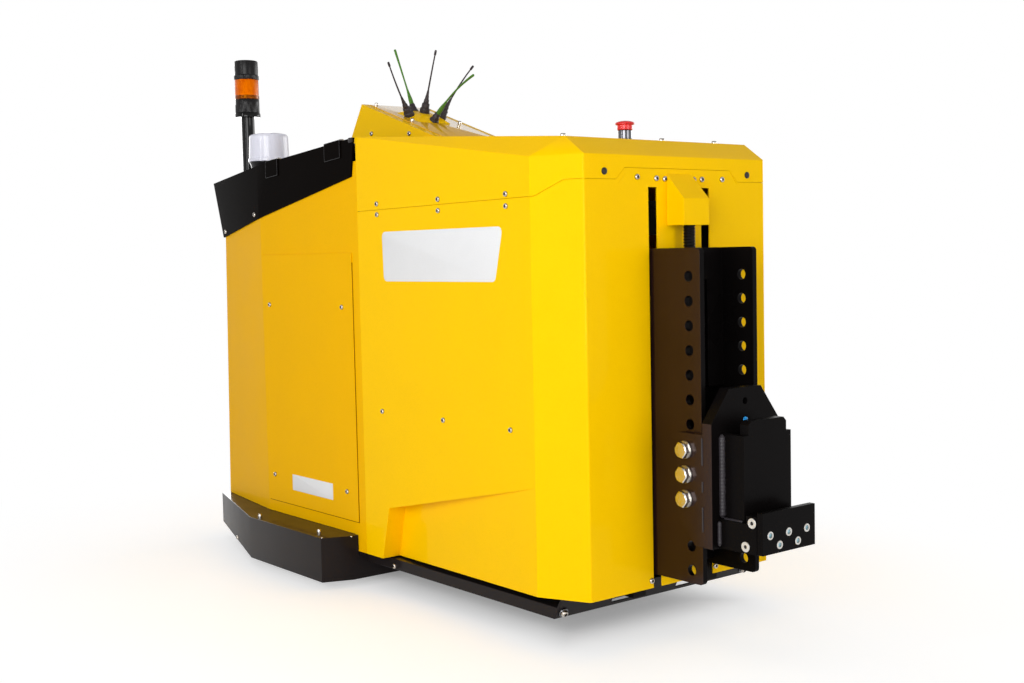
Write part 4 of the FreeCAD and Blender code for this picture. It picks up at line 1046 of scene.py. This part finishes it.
# lengths in metres; the floor's own light is weaker under the object than around it, a painted shadow
ground = {"half": 14.0, "drop": 0.0002, "grey": (0.69, 0.71), "rough": 0.85, "own": 0.50,
          "oval": (0.62, 1.0, 1.0), "fade": (0.7, 1.35), "under": 0.45, "rise": (-0.14, 0.03)}


def paintedShadowUnderObject(nt, spot, size):
    # painted shadow: from the glow's share under the object, rises to 1 with max(|x - middle| - half,
    # |y - middle| - half) of the frame's box
    parts = addNode(nt, "SeparateXYZ", {"Vector": spot})
    away = [figure(nt, "SUBTRACT", figure(nt, "ABSOLUTE", figure(nt, "SUBTRACT", parts[axis],
                                                                 (low + high) / 2)),
                   (high - low) / 2) for axis, low, high in zip("XY", *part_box("chassis_frame"))]
    return spread(nt, figure(nt, "MAXIMUM", *away), size["under"], 1.0, *size["rise"],
                  interpolation_type="SMOOTHSTEP")


def makeFloor(size):
    half, z = size["half"], -size["drop"]
    mesh = bpy.data.meshes.new("floor")
    mesh.from_pydata([(-half, -half, z), (half, -half, z), (half, half, z), (-half, half, z)],
                     [], [(0, 1, 2, 3)])
    mat, nt, shader = tree("pale floor")
    dark, light = size["grey"]
    # a little light of its own makes the floor white where nothing shades it, and away from the
    # object it fades to a plain white backdrop; under the object that light is dimmed, which paints a
    # shadow there
    spot = addNode(nt, "TexCoord", {})["Object"]
    oval = addNode(nt, "Mapping", {"Scale": size["oval"], "Vector": spot})["Vector"]
    away = addNode(nt, "VectorMath", {0: oval}, operation="LENGTH")["Value"]
    fade = spread(nt, away, 0.0, 1.0, *size["fade"], interpolation_type="SMOOTHSTEP")
    seen = rayKinds(nt)
    own = figure(nt, "MULTIPLY", seen, size["own"])
    fill(nt, shader, {"Base Color": ramp(nt, noiseAt(nt, 1.6), [(0.3, grey(dark)),
                                                                (0.7, grey(light))]),
                      "Roughness": size["rough"], "Specular IOR Level": 0.1,
                      "Emission Color": (1, 1, 1, 1),
                      "Emission Strength": figure(nt, "MULTIPLY", own,
                                                  paintedShadowUnderObject(nt, spot, size))})
    glow = addNode(nt, "Emission", {"Color": (1, 1, 1, 1)})["Emission"]
    surface = mixed(nt, figure(nt, "MULTIPLY", fade, seen), shader.outputs["BSDF"], glow)
    fill(nt, nt.nodes["Material Output"], {"Surface": surface})
    floor = shown("floor", mesh)
    dress(floor, mat)


def softBox(name, at, target, size, power):
    light = bpy.data.lights.new(name, "AREA")
    light.shape = "RECTANGLE"
    light.size, light.size_y = size
    light.energy = power
    aim = (Vector(target) - Vector(at)).to_track_quat("-Z", "Y")
    shown(name, light).matrix_world = Matrix.Translation(at) @ aim.to_matrix().to_4x4()


# (strength at one height, strength at the other, the two heights) of the room and its backdrop
room = {"light": (0.52, 0.08, 0.0, 1.0), "backdrop": (1.0, 0.30, 0.22, 0.9)}


def makeWorld(size):
    world = bpy.data.worlds.new("studio")
    bpy.context.scene.world = world
    world.use_nodes = True
    nt = world.node_tree
    # both fall off from the horizon to the ceiling
    height = addNode(nt, "SeparateXYZ",
                     {"Vector": addNode(nt, "TexCoord", {})["Generated"]})["Z"]
    light, backdrop = (
        addNode(nt, "Background", {"Color": (1, 1, 1, 1),
                                   "Strength": spread(nt, height, *size[k])})["Background"]
        for k in ("light", "backdrop"))
    fill(nt, nt.nodes["World Output"], {"Surface": mixed(nt, rayKinds(nt), light, backdrop)})


cameraView = {"at": (1958.2, -2016.9, 815.5), "turn": 51.48, "down": 3.83, "roll": -1.23,
              "lens": 46.33, "sensor": 36.0, "far": 100.0}


def makeCamera(size):
    turn, down, roll = (math.radians(size[k]) for k in ("turn", "down", "roll"))
    ahead = np.array([-math.sin(turn) * math.cos(down), math.cos(turn) * math.cos(down),
                      -math.sin(down)])
    right = np.array([math.cos(turn), math.sin(turn), 0.0])
    up = np.cross(right, ahead)
    side = right * math.cos(roll) + up * math.sin(roll)
    top = up * math.cos(roll) - right * math.sin(roll)
    data = bpy.data.cameras.new("camera")
    data.lens = size["lens"]
    data.sensor_width = size["sensor"]
    data.clip_end = size["far"]
    camera = shown("camera", data)
    pose = np.column_stack([side, top, -ahead, place(*size["at"])])
    camera.matrix_world = Matrix([*pose.tolist(), (0, 0, 0, 1)])
    bpy.context.scene.camera = camera


# name, place, what it faces, size and power
lamps = [
    ("key softbox", (2.4, -3.4, 1.3), (0.25, 0, 0.6), (2.2, 2.0), 99),
    ("front softbox", (4.6, 0.4, 1.1), (0.3, 0, 0.6), (2.0, 1.6), 41),
    ("top softbox", (0.0, 0.0, 4.4), (0, 0, 0), (4.5, 3.5), 22),
    ("left softbox", (-0.2, 4.2, 1.2), (-0.2, 0, 0.6), (2.8, 2.0), 74),
    ("rear softbox", (-4.8, 0.9, 1.2), (-0.8, 0.2, 0.6), (2.0, 2.0), 62),
    ("strip softbox", (-0.1, -3.2, 1.7), (-0.9, -0.2, 1.2), (0.12, 1.8), 14),
]
makeFloor(ground)
makeWorld(room)
for lamp in lamps:
    softBox(*lamp)
makeCamera(cameraView)
bpy.context.scene.view_settings.view_transform = "Standard"
print("stage: floor, light and camera")
